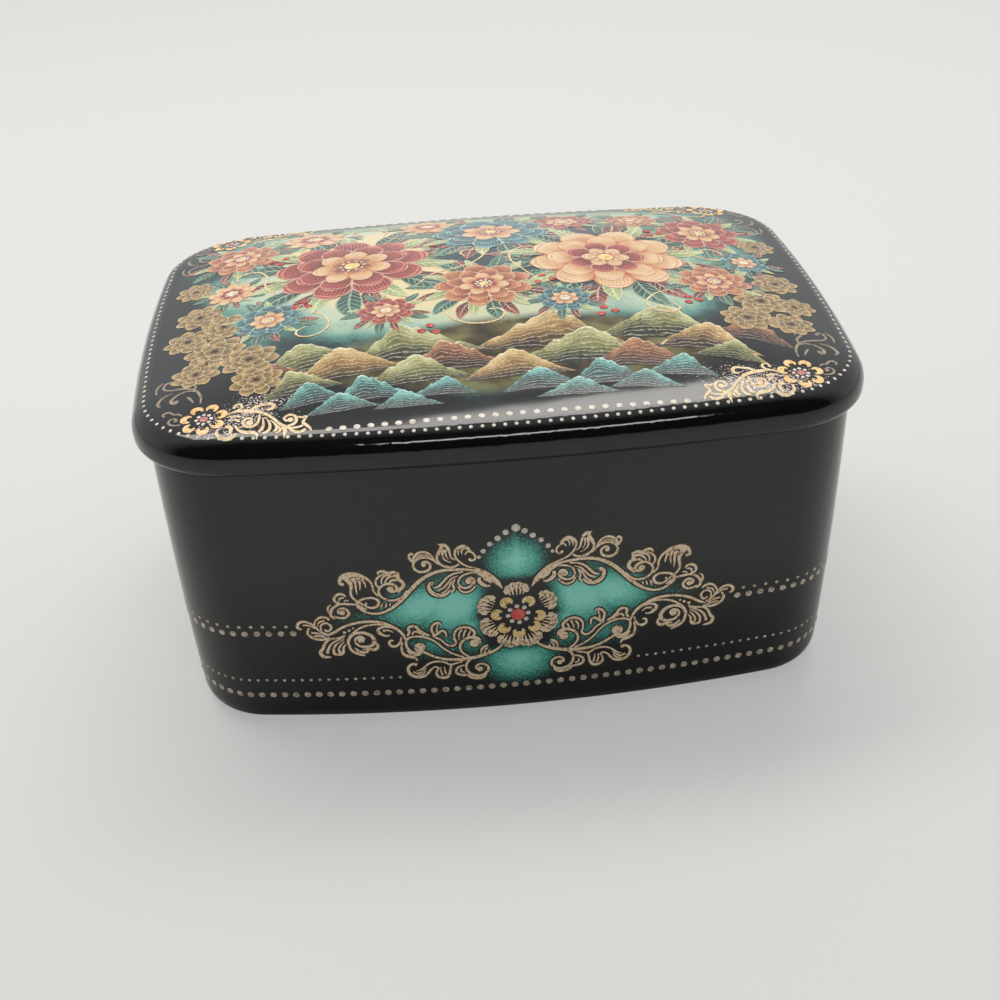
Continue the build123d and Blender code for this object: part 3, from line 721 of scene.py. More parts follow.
# petals and leaves: three tones from foot to tip, and the colour of the fine lines
petal_tones = {
    "crimson_petal": (((0.03, 0.003, 0.003), (0.20, 0.011, 0.010), (0.46, 0.07, 0.05)), (0.84, 0.52, 0.40)),
    "cream_petal": (((0.32, 0.035, 0.02), (0.70, 0.42, 0.20), (0.85, 0.69, 0.43)), (0.50, 0.04, 0.025)),
    "slate_petal": (((0.006, 0.013, 0.020), (0.018, 0.050, 0.068), (0.06, 0.22, 0.24)), (0.55, 0.74, 0.70)),
    "rust_petal": (((0.06, 0.008, 0.004), (0.28, 0.050, 0.022), (0.58, 0.22, 0.09)), (0.88, 0.66, 0.44)),
    "golden_petal": (((0.02, 0.010, 0.005), (0.15, 0.078, 0.022), (0.48, 0.30, 0.10)), (0.88, 0.74, 0.46)),
    "dark_leaf": (((0.012, 0.03, 0.025), (0.03, 0.09, 0.07), (0.08, 0.20, 0.15)), (0.45, 0.58, 0.42)),
    "pale_leaf": (((0.10, 0.14, 0.05), (0.30, 0.36, 0.12), (0.52, 0.58, 0.30)), (0.85, 0.84, 0.62)),
    "wine_leaf": (((0.02, 0.004, 0.004), (0.12, 0.014, 0.012), (0.30, 0.07, 0.045)), (0.80, 0.55, 0.42)),
}
# hills and water: three tones from foot to crest, and the colour of the broken crest
land_tones = {
    "moss": (((0.010, 0.012, 0.006), (0.17, 0.17, 0.05), (0.56, 0.55, 0.26)), (0.90, 0.86, 0.64)),
    "ochre": (((0.02, 0.010, 0.004), (0.34, 0.19, 0.05), (0.78, 0.58, 0.27)), (0.93, 0.82, 0.62)),
    "earth": (((0.012, 0.006, 0.004), (0.14, 0.045, 0.02), (0.46, 0.20, 0.08)), (0.88, 0.66, 0.50)),
    "water": (((0.006, 0.008, 0.009), (0.015, 0.10, 0.10), (0.18, 0.50, 0.44)), (0.78, 0.90, 0.84)),
}
painted_roughness = 0.22

# teal grounds of the wall: (middle along, middle up, half length, half height, turn, depth)
teal_grounds = (
    (0.0, 32.2, 6.4, 6.2, 0.0, 1.4),
    (10.5, 24.0, 10.4, 7.6, 0.0, 1.65),
    (15.5, 24.6, 9.8, 5.8, 0.25, 1.6),
    (7.6, 20.0, 6.0, 8.0, 0.0, 1.2),
    (13.5, 16.4, 9.5, 4.4, 0.0, 0.7),
    (11.0, 29.4, 8.0, 3.2, 0.0, 0.6),
    (25.5, 22.8, 9.0, 3.4, 0.0, 0.4),
    (0.0, 12.0, 8.6, 6.2, 0.0, 1.45),
)
# depth of the panel's soft fields, far past the lid, so that they are the same at any height
field_depth = 1000


def ride(piece, body):
    """Fastens a piece to its body."""
    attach(piece, body)


def only(*pieces):
    """Selects these pieces alone, the first one active."""
    bpy.ops.object.select_all(action="DESELECT")
    for piece in pieces:
        piece.select_set(True)
    bpy.context.view_layer.objects.active = pieces[0]


def joined(pieces, name, material=None):
    """Joins pieces into one that lies at the origin, and gives it its finish."""
    only(*pieces)
    if len(pieces) > 1:
        bpy.ops.object.join()
    whole = bpy.context.object
    whole.name = name
    bpy.ops.object.transform_apply(location=True, rotation=True, scale=True)
    if material:
        whole.data.materials.clear()
        whole.data.materials.append(material)
    return whole


def make_nib():
    """Flat pen end, a millimetre wide, that gives each line its width."""
    data = bpy.data.curves.new("nib", "CURVE")
    data.dimensions = "3D"
    edge = data.splines.new("POLY")
    edge.points.add(1)
    edge.points[0].co = (-0.5 * mm, 0, 0, 1)
    edge.points[1].co = (0.5 * mm, 0, 0, 1)
    tip = bpy.data.objects.new("nib", data)
    bpy.context.scene.collection.objects.link(tip)
    return tip


def draw_lines(lines, share=line_width_share, border=0.0):
    """Flat lines drawn with the nib in the plane of X and Y, as one mesh."""
    data = bpy.data.curves.new("lines", "CURVE")
    data.dimensions = "3D"
    data.twist_mode = "Z_UP"
    data.resolution_u = curve_steps
    data.bevel_mode = "OBJECT"
    data.bevel_object = nib
    for line in lines:
        path = data.splines.new("BEZIER")
        path.bezier_points.add(len(line) - 1)
        for knot, (along, up, width) in zip(path.bezier_points, line):
            knot.co = (along * mm, up * mm, 0)
            knot.handle_left_type = "AUTO"
            knot.handle_right_type = "AUTO"
            knot.radius = width * share + border
    drawn = bpy.data.objects.new("lines", data)
    bpy.context.scene.collection.objects.link(drawn)
    only(drawn)
    bpy.ops.object.convert(target="MESH")
    return bpy.context.object


def draw_each(lines):
    return [draw_lines([line]) for line in lines]


def make_disc(along, up, radius):
    bpy.ops.mesh.primitive_circle_add(
        vertices=14, radius=radius * mm, fill_type="TRIFAN", location=(along * mm, up * mm, 0)
    )
    return bpy.context.object


def lay_on(piece, shell, lift, axis, thickness):
    """Lays a flat piece on a shell along an axis, and gives it the thickness of fired paint."""
    only(piece)
    wrap = piece.modifiers.new("lay", "SHRINKWRAP")
    wrap.target = shell
    wrap.wrap_method = "PROJECT"
    wrap.wrap_mode = "ABOVE_SURFACE"
    wrap.use_project_y = axis == "Y"
    wrap.use_project_z = axis == "Z"
    wrap.use_negative_direction = axis == "Z"
    wrap.use_positive_direction = axis == "Y"
    wrap.offset = lift * mm
    bpy.ops.object.modifier_apply(modifier=wrap.name)
    skin = piece.modifiers.new("paint", "SOLIDIFY")
    skin.thickness = thickness * mm
    skin.offset = 0
    bpy.ops.object.modifier_apply(modifier=skin.name)
    bpy.ops.object.mode_set(mode="EDIT")
    bpy.ops.mesh.select_all(action="SELECT")
    bpy.ops.mesh.normals_make_consistent(inside=False)
    bpy.ops.object.mode_set(mode="OBJECT")
    bpy.ops.object.shade_smooth_by_angle(angle=math.radians(40))


def paint_wall(name, lines, buds, first_lift, material, rows, share=line_width_share, border=0.0):
    """Lines and buds laid on the front wall, crossing ones at slightly different lifts."""
    upright = Matrix.Rotation(math.radians(90), 4, "X")
    in_front = Matrix.Translation((0, -wall_drawing_distance * mm, 0)) @ upright
    layers = []
    for row in range(rows):
        drawn = [draw_lines(lines[row::rows], share, border)]
        drawn += [make_disc(along, up, radius + border / 2) for along, up, radius in buds[row::rows]]
        layer = joined(drawn, "layer")
        layer.data.transform(in_front)
        lay_on(layer, box_node, first_lift + row * lift_step, "Y", paint_thickness)
        layers.append(layer)
    return joined(layers, name, material)


def lay_on_lid(piece, lift, thickness):
    piece.data.transform(Matrix.Translation((0, 0, lid_drawing_height * mm)))
    lay_on(piece, lid_node, lift, "Z", thickness)


def paint_panel(name, pieces, material, first_coat, coats=1):
    """Pieces laid on the lid in a few coats, each a little over the last."""
    layers = []
    for coat in range(min(coats, len(pieces))):
        layer = joined(pieces[coat::coats], "layer")
        lay_on_lid(layer, (first_coat + coat) * lift_step, panel_thickness)
        layers.append(layer)
    ride(joined(layers, name, material), "lid")


def crescent(along, up, centre, size, width):
    """Crescent petal that opens towards the flower's middle."""
    out = math.atan2(up - centre[1], along - centre[0])
    line = []
    for step in range(7):
        turn = math.radians(-125 + step * 250 / 6)
        swell = math.cos(turn * 0.62) ** 2
        reach_along = along + size * math.cos(out + turn)
        reach_up = up + size * math.sin(out + turn)
        line.append((reach_along, reach_up, 0.25 + width * swell))
    return line


def fan(along, up, centre, size):
    """Scalloped outer petal: a rim, and five ribs that run in from it side by side."""
    out = math.atan2(up - centre[1], along - centre[0])

    def spot(ahead, aside, width):
        ahead -= 0.7
        return (
            along + ahead * math.cos(out) - aside * math.sin(out),
            up + ahead * math.sin(out) + aside * math.cos(out),
            width,
        )

    rim = []
    for step in range(11):
        turn = math.radians(-70 + step * 14)
        wave = size * (1.0 + 0.1 * math.cos(step * math.pi))
        rim.append(spot(wave * math.cos(turn), wave * math.sin(turn), 0.78 + 0.42 * math.cos(turn)))
    lines = [rim]
    for rib in range(-2, 3):
        turn = math.radians(rib * 27)
        foot = rib * 0.36
        tip = size * math.sin(turn)
        lines.append(
            [
                spot(size * math.cos(turn), tip, 0.62),
                spot(size * 0.62 * math.cos(turn), foot + (tip - foot) * 0.7, 0.44),
                spot(0.05, foot + (tip - foot) * 0.3, 0.1),
            ]
        )
    return lines


def spots_round(middle, reach, count, start=0):
    """Spots set evenly round a middle, the first one at a start angle in degrees."""
    spots = []
    for step in range(count):
        way = math.radians(360 / count * step + start)
        spots.append((middle[0] + reach * math.cos(way), middle[1] + reach * math.sin(way)))
    return spots


def row_places(node, height, pitch, free):
    """Places and outward ways round a shell at a height; the long sides stay free near their middle."""
    around = []
    count = 1440
    for step in range(count):
        turn = 2 * math.pi * step / count
        ray = Vector((math.cos(turn), math.sin(turn), 0))
        _, place, way, _ = node.ray_cast(ray * 0.2 + Vector((0, 0, height * mm)), -ray)
        around.append((place, way))
    lengths = [0.0]
    for step in range(count):
        lengths.append(lengths[-1] + (around[(step + 1) % count][0] - around[step][0]).length)
    # the row starts at the middle of the front
    start = lengths[3 * count // 4]
    number = round(lengths[-1] / (pitch * mm))
    row = []
    for step in range(number):
        reach = (start + (step + 0.5) * lengths[-1] / number) % lengths[-1]
        index = next(i for i in range(count) if lengths[i + 1] >= reach)
        share = (reach - lengths[index]) / (lengths[index + 1] - lengths[index])
        first, last = around[index], around[(index + 1) % count]
        place = first[0].lerp(last[0], share)
        way = first[1].lerp(last[1], share).normalized()
        if abs(place.x) > free * mm or abs(place.y) < long_side_from * mm:
            row.append((place, way))
    return row


def wall_place(along, up):
    """Place on the front wall, and the outward way there."""
    _, place, way, _ = box_node.ray_cast(Vector((along * mm, -0.1, up * mm)), Vector((0, 1, 0)))
    return place, way


def lid_place(along, across):
    """Place on top of the lid, and the outward way there."""
    _, place, way, _ = lid_node.ray_cast(Vector((along * mm, across * mm, 0.1)), Vector((0, 0, -1)))
    return place, way


def raised(places, rise):
    """Places lifted over the coats of paint under them."""
    lift = Vector((0, 0, rise * mm))
    return [(place + lift, way) for place, way in places]


def make_bead():
    """Low dome of enamel, one unit in radius, standing on its flat foot."""
    bpy.ops.mesh.primitive_uv_sphere_add(segments=10, ring_count=6, radius=1)
    dome = bpy.context.object
    bpy.ops.object.mode_set(mode="EDIT")
    bpy.ops.mesh.select_all(action="SELECT")
    bpy.ops.mesh.bisect(plane_co=(0, 0, -0.05), plane_no=(0, 0, 1), clear_inner=True, use_fill=True)
    bpy.ops.mesh.select_all(action="SELECT")
    bpy.ops.transform.resize(value=(1, 1, bead_height_share), center_override=(0, 0, 0))
    bpy.ops.object.mode_set(mode="OBJECT")
    bpy.ops.object.shade_smooth()
    return dome


def set_beads(places, radius, name, material):
    """The bead copied to each place, standing along the surface's outward way."""
    copies = []
    for place, way in places:
        copy = bead.copy()
        copy.data = bead.data.copy()
        turn = way.to_track_quat("Z", "Y").to_matrix().to_4x4()
        copy.data.transform(Matrix.Translation(place) @ turn @ Matrix.Scale(radius * mm, 4))
        bpy.context.scene.collection.objects.link(copy)
        copies.append(copy)
    return joined(copies, name, material)


def petal_shape(widths, sway, ridge, name):
    """Flat shape one unit long, its foot at the origin, with widths of rows and heights of columns."""
    rows = len(widths) - 1
    columns = len(ridge) - 1
    bpy.ops.mesh.primitive_grid_add(
        x_subdivisions=columns, y_subdivisions=rows, size=1, location=(0, 0.5, 0)
    )
    shape = bpy.context.object
    shape.name = name
    bpy.ops.object.transform_apply(location=True, rotation=False, scale=False)

    def choose(kept):
        for face in shape.data.polygons:
            face.select = False
        for edge in shape.data.edges:
            edge.select = False
        for vertex in shape.data.vertices:
            vertex.select = vertex.index in kept
        bpy.ops.object.mode_set(mode="EDIT")

    for row, width in enumerate(widths):
        choose(range(row * (columns + 1), (row + 1) * (columns + 1)))
        bpy.ops.transform.resize(value=(width, 1, 1), center_override=(0, 0, 0))
        bpy.ops.transform.translate(value=(sway * math.sin(math.pi * row / rows), 0, 0))
        bpy.ops.object.mode_set(mode="OBJECT")
    for column, height in enumerate(ridge):
        choose(range(column, (rows + 1) * (columns + 1), columns + 1))
        bpy.ops.transform.resize(value=(1, height, 1), center_override=(0, 0, 0))
        bpy.ops.object.mode_set(mode="OBJECT")
    return shape


def strew(shape, places):
    """Copies of a flat shape, each (along, across, turn, length, width), turned anticlockwise from +Y."""
    copies = []
    for along, across, turn, length, width in places:
        copy = shape.copy()
        copy.data = shape.data.copy()
        size = Matrix.Diagonal((width * mm, length * mm, 1, 1))
        turned = Matrix.Rotation(math.radians(turn), 4, "Z")
        copy.data.transform(Matrix.Translation((along * mm, across * mm, 0)) @ turned @ size)
        bpy.context.scene.collection.objects.link(copy)
        copies.append(copy)
    return copies


def ring_of(along, across, size, turn, ring):
    """Places of one ring of petals round a bloom's middle."""
    count, foot, length, width = ring
    places = []
    for step in range(count):
        way = turn + 360.0 * step / count
        reach = foot * size
        foot_along = along - reach * math.sin(math.radians(way))
        foot_across = across + reach * math.cos(math.radians(way))
        places.append((foot_along, foot_across, way, length * size, width * size))
    return places


def inside_border(places):
    """Leaves cut short where their tips would run over the bead rows of the border."""
    kept = []
    for along, across, turn, length, width in places:
        rise = math.cos(math.radians(turn))
        room = length if abs(rise) < 0.1 else (math.copysign(leaf_reach, rise) - across) / rise
        if room > 0.4 * length:
            kept.append((along, across, turn, min(length, room), width))
    return kept


def enamel(name, tones, roughness):
    """Fired colour with a fine speckle between a dark, a middle and a light tone."""
    material, tree, shader = finish_of(name)
    place, _ = place_in_mm(tree)
    dark, middle, light = tones
    grain = speckle(tree, place, 2.3, 4.0)
    tone = plus(tree, times(tree, grain, 0.8), times(tree, speckle(tree, place, 0.5, 2.0), 0.2))
    colour = ramp(tree, tone, (0.37, 0.46, 0.54, 0.62), (dark, middle, middle, light))
    tree.links.new(colour, shader.inputs["Base Color"])
    shader.inputs["Roughness"].default_value = roughness
    add_relief(tree, shader, grain, 0.25, 0.00003)
    return material


def petal_finish(name, tones, line):
    """Painted petal or leaf: toned from foot to tip, with fine veins and a pale edge."""
    material, tree, shader = finish_of(name)
    place, across, along = own_map(tree)
    off_middle = times(tree, maths(tree, "ABSOLUTE", minus(tree, across, 0.5)), 2.0)
    grain = speckle(tree, place, 2.4, 4.0)
    cloud = speckle(tree, place, 0.35, 3.0)
    tone = maths(tree, "MULTIPLY_ADD", cloud, 0.5, times(tree, along, 0.72))
    tone = times(tree, plus(tree, tone, times(tree, grain, 0.3)), 0.85)
    colour = ramp(tree, tone, (0.36, 0.65, 0.94), tones)
    if name.endswith("leaf"):
        waver = minus(tree, times(tree, along, 46.0), times(tree, off_middle, 9.0))
        veins = times(tree, above(tree, maths(tree, "SINE", waver), 0.72), 0.55)
        veins = most(tree, veins, times(tree, below(tree, off_middle, 0.1), 0.9))
    else:
        waver = maths(tree, "MULTIPLY_ADD", off_middle, 2.0, times(tree, across, 69.0))
        reach = times(tree, above(tree, along, 0.25), below(tree, along, 0.8))
        veins = times(tree, above(tree, maths(tree, "SINE", waver), 0.70), reach, 0.45)
        pearls = above(tree, maths(tree, "SINE", times(tree, across, 88.0)), 0.0)
        row = times(tree, above(tree, along, 0.83), below(tree, along, 0.9))
        veins = most(tree, veins, times(tree, row, pearls, 0.9))
    edge = most(tree, above(tree, off_middle, 0.88), above(tree, along, 0.955))
    edge = times(tree, edge, above(tree, along, 0.2))
    lines = most(tree, veins, times(tree, edge, 0.9))
    worn = times(tree, lines, fade(tree, grain, 0.35, 0.6, 0.45))
    tree.links.new(blend_colours(tree, worn, colour, line), shader.inputs["Base Color"])
    shader.inputs["Roughness"].default_value = painted_roughness
    return material


def land_finish(name, tones, crest):
    """Painted hill or wave: light under a pale broken crest, dark at the foot."""
    material, tree, shader = finish_of(name)
    place, _, along = own_map(tree)
    cloud = speckle(tree, place, 0.22, 5.0)
    grain = speckle(tree, place, 2.2, 4.0)
    tone = maths(tree, "MULTIPLY_ADD", cloud, 0.9, times(tree, along, 0.75))
    tone = times(tree, maths(tree, "MULTIPLY_ADD", grain, 0.4, tone), 0.62)
    colour = ramp(tree, tone, (0.47, 0.66, 0.88), tones)
    waver = maths(tree, "MULTIPLY_ADD", cloud, 22.0, times(tree, along, 50.0))
    strokes = times(tree, above(tree, maths(tree, "SINE", waver), 0.66), 0.38)
    height = maths(tree, "MULTIPLY_ADD", grain, 0.10, along)
    lines = most(tree, strokes, times(tree, above(tree, height, 1.005), 0.85))
    worn = times(tree, lines, fade(tree, grain, 0.38, 0.56, 0.3))
    tree.links.new(blend_colours(tree, worn, colour, crest), shader.inputs["Base Color"])
    shader.inputs["Roughness"].default_value = painted_roughness
    return material


def upright_teal(tree, place):
    """Teal grounds of the wall ornament, 0 to 1, the same on both sides of the middle."""
    along, _, up = in_parts(tree, place)
    aside = maths(tree, "ABSOLUTE", along)
    folded = node_step(tree, "CombineXYZ", aside, 0.0, up)
    rise = maths(tree, "ABSOLUTE", minus(tree, up, 32.4))
    slant = plus(tree, maths(tree, "DIVIDE", aside, 6.2), maths(tree, "DIVIDE", rise, 6.7))
    fields = times(tree, minus(tree, 1.0, slant), 1.55)
    for middle, height, length, breadth, turn, depth in teal_grounds:
        patch = glow(tree, folded, (middle, 0, height), (length, 1, breadth), (0, turn, 0))
        fields = most(tree, fields, times(tree, patch, depth))
    # the flower's middle stays dark
    halo = glow(tree, folded, (0, 0, 21.5), (8.6, 1, 8.4))
    return minus(tree, fields, times(tree, halo, 2.2))


def hatched(tree, place, fields):
    """Breaks a soft field up into fine crossed strokes and grains."""
    strokes = []
    for turn in (0.8, -0.8):
        turned = node_step(tree, "Mapping", place, None, (0, turn, 0))
        strokes.append(node_step(tree, "TexWave", turned, 0.76, 1.2, 2.0).node.outputs["Fac"])
    cross = plus(tree, strokes[0], strokes[1])
    rough = plus(tree, times(tree, cross, 0.17), speckle(tree, place, 3.0, 3.0))
    within = node_step(tree, "Math", fields, 4.0, operation="MULTIPLY", use_clamp=True)
    return plus(tree, fields, times(tree, within, minus(tree, rough, 0.75)))


def lid_ground(tree, place):
    """Ground of the panel: pale and slate fields that fade into the glaze, mossy soil in front, and a
    painted highlight of pale grains near the front corners.
    """
    grain = speckle(tree, place, 2.6, 3.0)
    rough = plus(tree, times(tree, speckle(tree, place, 0.07, 4.0), 0.75), times(tree, grain, 0.16))
    rough = minus(tree, rough, 0.46)

    def field(middle, size, strength, unevenness):
        """Soft patch of the ground with an uneven edge."""
        patch = glow(tree, place, (*middle, 0), (*size, field_depth))
        return plus(tree, times(tree, patch, strength), times(tree, rough, unevenness))

    sky = field((-2.0, 12.0), (64.0, 50.0), 1.4, 1.1)
    base = ramp(
        tree,
        sky,
        (0.14, 0.26, 0.38, 0.55, 0.85),
        (black, (0.015, 0.060, 0.058), (0.110, 0.300, 0.250), (0.480, 0.600, 0.450), (0.800, 0.660, 0.370)),
    )
    dusk = fade(tree, field((14.0, 12.0), (34.0, 34.0), 1.5, 1.2), 0.42, 0.62)
    slate = ramp(tree, grain, (0.35, 0.62), ((0.010, 0.020, 0.028), (0.030, 0.075, 0.090)))
    base = blend_colours(tree, dusk, base, slate)
    ground = fade(tree, field((4.0, -25.0), (46.0, 13.0), 1.6, 1.0), 0.28, 0.60)
    soil_tones = ((0.020, 0.020, 0.010), (0.090, 0.065, 0.020), (0.180, 0.180, 0.070))
    soil = ramp(tree, speckle(tree, place, 0.16, 5.0), (0.36, 0.50, 0.64), soil_tones)
    base = blend_colours(tree, ground, base, soil)
    # the panel ends in a rounded oblong
    along, across, height = in_parts(tree, place)
    span = maths(tree, "POWER", maths(tree, "ABSOLUTE", maths(tree, "DIVIDE", along, 57.0)), 5.0)
    depth = maths(tree, "POWER", maths(tree, "ABSOLUTE", maths(tree, "DIVIDE", across, 41.0)), 5.0)
    reach = maths(tree, "MULTIPLY_ADD", rough, 0.5, plus(tree, span, depth))
    base = blend_colours(tree, fade(tree, reach, 0.55, 0.95), base, black)
    # painted highlight: pale grains of a lamp's reflection that run out towards the front corners
    left = glow(tree, place, (-38.5, -34.5, 0), (20.0, 6.0, field_depth), (0, 0, 0.6))
    right = glow(tree, place, (42.0, -37.5, 0), (17.0, 5.5, field_depth), (0, 0, -0.2))
    painted_highlight_patch = most(tree, left, right)
    painted_highlight_grain = maths(tree, "MULTIPLY_ADD", painted_highlight_patch, 0.30, speckle(tree, place, 3.2, 1.0))
    crown = above(tree, height, crown_low)
    painted_highlight_mask = times(tree, above(tree, painted_highlight_grain, 0.78), above(tree, painted_highlight_patch, 0.04), crown)
    return blend_colours(tree, painted_highlight_mask, base, (0.74, 0.60, 0.56))


def shell_parts(tree):
    """Place on a shell, its height, how far the face looks up, and whether it looks in at the middle."""
    place, normal = place_in_mm(tree)
    along, across, height = in_parts(tree, place)
    way_along, way_across, way_up = in_parts(tree, normal)
    outwards = plus(tree, times(tree, along, way_along), times(tree, across, way_across))
    return place, height, way_up, below(tree, outwards, -0.5)


def finish_glaze(tree, shader, place, paint, bare, pale):
    """Black glaze with its paint, white glaze where pale is 1, and dull porcelain where bare is 1."""
    dust = speckle(tree, place, 1.4, 5.0)
    clay = ramp(tree, dust, (0.35, 0.65), ((0.62, 0.60, 0.55), (0.74, 0.72, 0.68)))
    cream = ramp(tree, dust, (0.3, 0.7), ((0.80, 0.79, 0.75), (0.84, 0.83, 0.80)))
    colour = blend_colours(tree, bare, blend_colours(tree, pale, paint, cream), clay)
    tree.links.new(colour, shader.inputs["Base Color"])
    smear = maths(tree, "MULTIPLY_ADD", speckle(tree, place, 0.3, 4.0), 0.05, 0.045)
    tree.links.new(maths(tree, "MULTIPLY_ADD", bare, 0.5, smear), shader.inputs["Roughness"])
    # faint waves of a thick glaze
    add_relief(tree, shader, speckle(tree, place, 0.09, 1.0), 0.12, 0.0004)


def box_glaze():
    """Black glaze with teal grounds; white inside and under the foot; bare on the rim and foot ring."""
    material, tree, shader = finish_of("black_glaze")
    place, height, way_up, inside = shell_parts(tree)
    toned = times(tree, hatched(tree, place, upright_teal(tree, place)), 0.7)
    teal = ramp(
        tree,
        toned,
        (0.07, 0.20, 0.36, 0.56, 0.86),
        (black, (0.012, 0.080, 0.070), (0.050, 0.330, 0.265), (0.140, 0.600, 0.480), (0.300, 0.860, 0.730)),
    )
    floor = times(tree, above(tree, way_up, 0.5), below(tree, height, inner_floor_top))
    under = times(tree, below(tree, way_up, -0.9), below(tree, height, foot_recess_top))
    rim = times(tree, above(tree, way_up, 0.9), above(tree, height, rim_low))
    foot = times(tree, below(tree, way_up, -0.9), below(tree, height, foot_ring_top))
    finish_glaze(tree, shader, place, teal, most(tree, rim, foot), most(tree, inside, floor, under))
    return material


def lid_glaze():
    """Black glaze with the panel's ground; white in the hollow; bare on the seat and the ring."""
    material, tree, shader = finish_of("black_glaze_lid")
    place, height, way_up, inside = shell_parts(tree)
    paint = lid_ground(tree, place)
    ceiling = times(tree, below(tree, way_up, -0.3), above(tree, height, shoulder_low))
    upward = times(tree, above(tree, way_up, 0.1), above(tree, height, shoulder_low))
    hidden = times(tree, most(tree, inside, ceiling), minus(tree, 1.0, upward))
    hollow = times(tree, hidden, above(tree, height, ring_lead_top))
    seat = times(tree, below(tree, height, seat_top), minus(tree, 1.0, hollow))
    finish_glaze(tree, shader, place, paint, seat, hollow)
    return material


def nearer(spot, share):
    """A spot of the wall's flower drawn in towards its middle."""
    return spot[0] * share, flower_height + (spot[1] - flower_height) * share


def dress_wall():
    """Scrolls, bead rows, crest and flower of the front wall, and the same on the back wall."""
    white = enamels["bead_white"]
    gold = enamels["scroll_gold"]
    lines = scroll_lines + [[(-along, up, width) for along, up, width in line] for line in scroll_lines]
    buds = scroll_buds + stem_dots
    buds = buds + [(-along, up, radius) for along, up, radius in buds]
    shade = enamels["scroll_shade"]
    outlines = paint_wall(
        "wall_outlines", lines, buds, outline_lift, shade, 5, outline_share, outline_border
    )
    scrolls = paint_wall("wall_scrolls", lines, buds, scroll_lift, gold, 5)
    for name, height, pitch, radius, free in wall_rows:
        ride(set_beads(row_places(box_node, height, pitch, free), radius, name, enamels["bead_tan"]), "box")
    centre = (0.0, flower_height)
    crests = []
    for along, up, radius in crest_dots:
        # the top bead stands alone over the middle
        for side in sides[:1] if along < 1 else sides:
            crests.append(set_beads([wall_place(along * side, up)], radius, "crest", white))
    for spot in spots_round(centre, bead_ring_radius, 8, 6):
        crests.append(set_beads([wall_place(*spot)], bead_radius, "crest", white))
    crest_beads = joined(crests, "crest_beads", white)
    disc = set_beads([wall_place(*centre)], disc_radius, "flower_disc", enamels["disc_red"])
    inner = [crescent(*nearer(spot, 0.9), centre, 0.72, 1.35) for spot in inner_petals]
    outer = [line for spot in outer_petals for line in fan(*nearer(spot, 0.93), centre, 1.95)]
    inner_ring = paint_wall("inner_petals", inner, [], flower_lift, enamels["petal_yellow"], 3)
    outer_ring = paint_wall("outer_petals", outer, [], flower_lift, gold, 6)
    wall_pieces = (outlines, scrolls, crest_beads, disc, inner_ring, outer_ring)
    for piece in wall_pieces:
        ride(piece, "box")
    for piece in wall_pieces:
        turned = piece.copy()
        turned.data = piece.data.copy()
        turned.name = "back_" + piece.name
        turned.data.transform(Matrix.Rotation(math.pi, 4, "Z"))
        bpy.context.scene.collection.objects.link(turned)
        ride(turned, "box")


def bead_border():
    """Fine bead row round the lid's shoulder, and a coarser one along both long edges."""
    white = enamels["bead_white"]
    height, pitch, radius = shoulder_row
    ride(set_beads(row_places(lid_node, height, pitch, 0.0), radius, "shoulder_seeds", white), "lid")
    across, pitch, radius, reach = front_row
    number = int(2 * reach / pitch)
    places = []
    for step in range(number):
        along = (step - (number - 1) / 2) * pitch
        places += [lid_place(along, across * side) for side in sides]
    ride(set_beads(places, radius, "border_beads", white), "lid")


def lay_land():
    """Hills and water in front, each lobe over the one behind it."""
    laid = {kind: [] for kind in land_tones}
    for order, (kind, *spot) in enumerate(land):
        piece = strew(lobes[order % 3], [spot])[0]
        lay_on_lid(piece, land_lift + land_step * order, land_thickness)
        laid[kind].append(piece)
    for kind, pieces in laid.items():
        ride(joined(pieces, kind + "_land", finishes[kind]), "lid")


def paint_leaves():
    """Long leaves behind the blooms, and the tendrils between them."""
    for name, turn_on, many, few, *ring in leaf_rings:
        places = []
        for _, along, across, size, turn in blooms:
            count = many if size > big_bloom else few
            places += ring_of(along, across, size, turn + turn_on, (count, *ring))
        leaves = strew(leaf_shape, inside_border(places))
        paint_panel(name, leaves, finishes[name.replace("leaves", "leaf")], *lid_coats[name])
    paint_panel("tendrils", draw_each(tendrils), enamels["border_gold"], *lid_coats["tendrils"])


def paint_golden_blooms():
    """Small golden blooms at both ends, every other petal a coat higher."""
    coat = golden_coat
    for ring in golden_rings:
        rows = []
        for order, (along, across, size) in enumerate(golden_blooms):
            rows.append(ring_of(along, across, size, 37 * order + 180 / ring[0], ring))
        for parity, letter in enumerate("ab"):
            spots = [spot for row in rows for spot in row[parity::2]]
            name = "golden_petals_%d_%s" % (ring[0], letter)
            paint_panel(name, strew(petal, spots), finishes["golden_petal"], coat)
            coat += 1


def paint_blooms():
    """The panel's blooms, ring on ring, every other petal a coat higher, with beaded hearts."""
    coat = bloom_coat
    for depth, ring in enumerate(bloom_rings):
        for parity in (0, 1):
            by_shade = {}
            for colours, along, across, size, turn in blooms:
                spots = ring_of(along, across, size, turn + 22 * depth, ring)[parity::2]
                by_shade.setdefault(ring_shades[colours][depth], []).extend(spots)
            for shade, spots in by_shade.items():
                name = "bloom_%s_%d_%d" % (shade, depth, parity)
                paint_panel(name, strew(petal, spots), finishes[shade + "_petal"], coat)
            coat += 1
    hearts = []
    places = []
    for _, along, across, size, _ in blooms:
        hearts.append(make_disc(along, across, size * 0.10))
        places += [lid_place(*spot) for spot in spots_round((along, across), size * 0.15, 10)]
    paint_panel("bloom_hearts", hearts, enamels["petal_yellow"], coat)
    places = raised(places, coat * lift_step + 0.01)
    ride(set_beads(places, heart_bead_radius, "heart_beads", enamels["bead_white"]), "lid")


def set_berries():
    places = raised([lid_place(*spot) for spot in berries], bloom_coat * lift_step)
    ride(set_beads(places, berry_radius, "berries", enamels["berry_red"]), "lid")


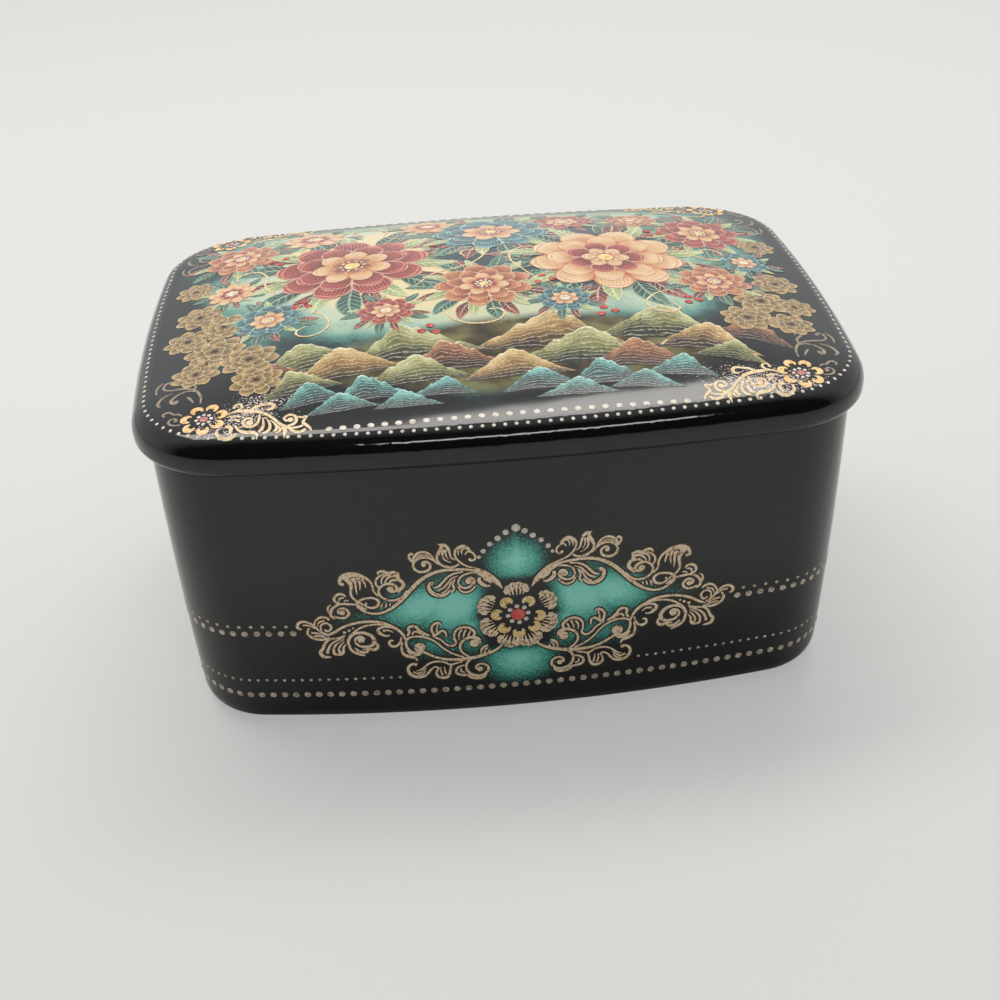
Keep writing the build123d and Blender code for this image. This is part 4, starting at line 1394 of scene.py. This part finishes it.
def paint_sprays(name, lines, buds, material):
    """Sprays of the lid's border, drawn once and turned over for all four corners."""
    turned = []
    for y_side in sides:
        for x_side in sides:
            for line in lines:
                turned.append([(along * x_side, across * y_side, width) for along, across, width in line])
    drawn = draw_each(turned)
    for along, across, radius in buds:
        for x_side in sides:
            drawn += [make_disc(along * x_side, across * y_side, radius) for y_side in sides]
    paint_panel(name, drawn, material, *lid_coats[name])


def set_corner_flowers():
    """Flower in each corner of the border: petals round a ring of beads and a disc."""
    petals = []
    ring = []
    discs = []
    for x_side in sides:
        for y_side in sides:
            middle = (corner_flower[0] * x_side, corner_flower[1] * y_side)
            for spot in spots_round(middle, corner_petal_reach, 7, 64):
                petals.append(crescent(*spot, middle, 0.72, 0.95))
            ring += [lid_place(*spot) for spot in spots_round(middle, corner_bead_reach, 8)]
            discs.append(lid_place(*middle))
    apricot = enamels["corner_apricot"]
    paint_panel("corner_petals", draw_each(petals), apricot, *lid_coats["corner_petals"])
    ride(set_beads(ring, corner_bead_radius, "corner_beads", enamels["bead_white"]), "lid")
    ride(set_beads(discs, corner_disc_radius, "corner_discs", enamels["corner_pink"]), "lid")


place_camera()
lay_floor()
light_room()
box_node = bpy.data.objects["box"]
lid_node = bpy.data.objects["lid"]
for node, material in ((box_node, box_glaze()), (lid_node, lid_glaze())):
    for slot in node.material_slots:
        slot.material = material
enamels = {name: enamel(name, *look) for name, look in enamel_tones.items()}
finishes = {name: petal_finish(name, *look) for name, look in petal_tones.items()}
finishes.update({name: land_finish(name, *look) for name, look in land_tones.items()})

nib = make_nib()
bead = make_bead()
leaf_shape = petal_shape(leaf_widths, 0.14, (1,) * 5, "leaf")
petal = petal_shape(petal_widths, 0.0, petal_ridge, "petal")
lobes = [petal_shape(lobe_widths, 0.0, ridge, "lobe") for ridge in lobe_ridges]

dress_wall()
bead_border()
lay_land()
paint_leaves()
paint_golden_blooms()
paint_blooms()
set_berries()
paint_sprays("front_sprays", front_spray, spray_buds[:3], enamels["border_gold"])
paint_sprays("end_sprays", end_spray, spray_buds[3:], enamels["border_dim_gold"])
set_corner_flowers()
for spare in (nib, bead, leaf_shape, petal, *lobes):
    bpy.data.objects.remove(spare)

scene = bpy.context.scene
scene.view_settings.view_transform = "Standard"
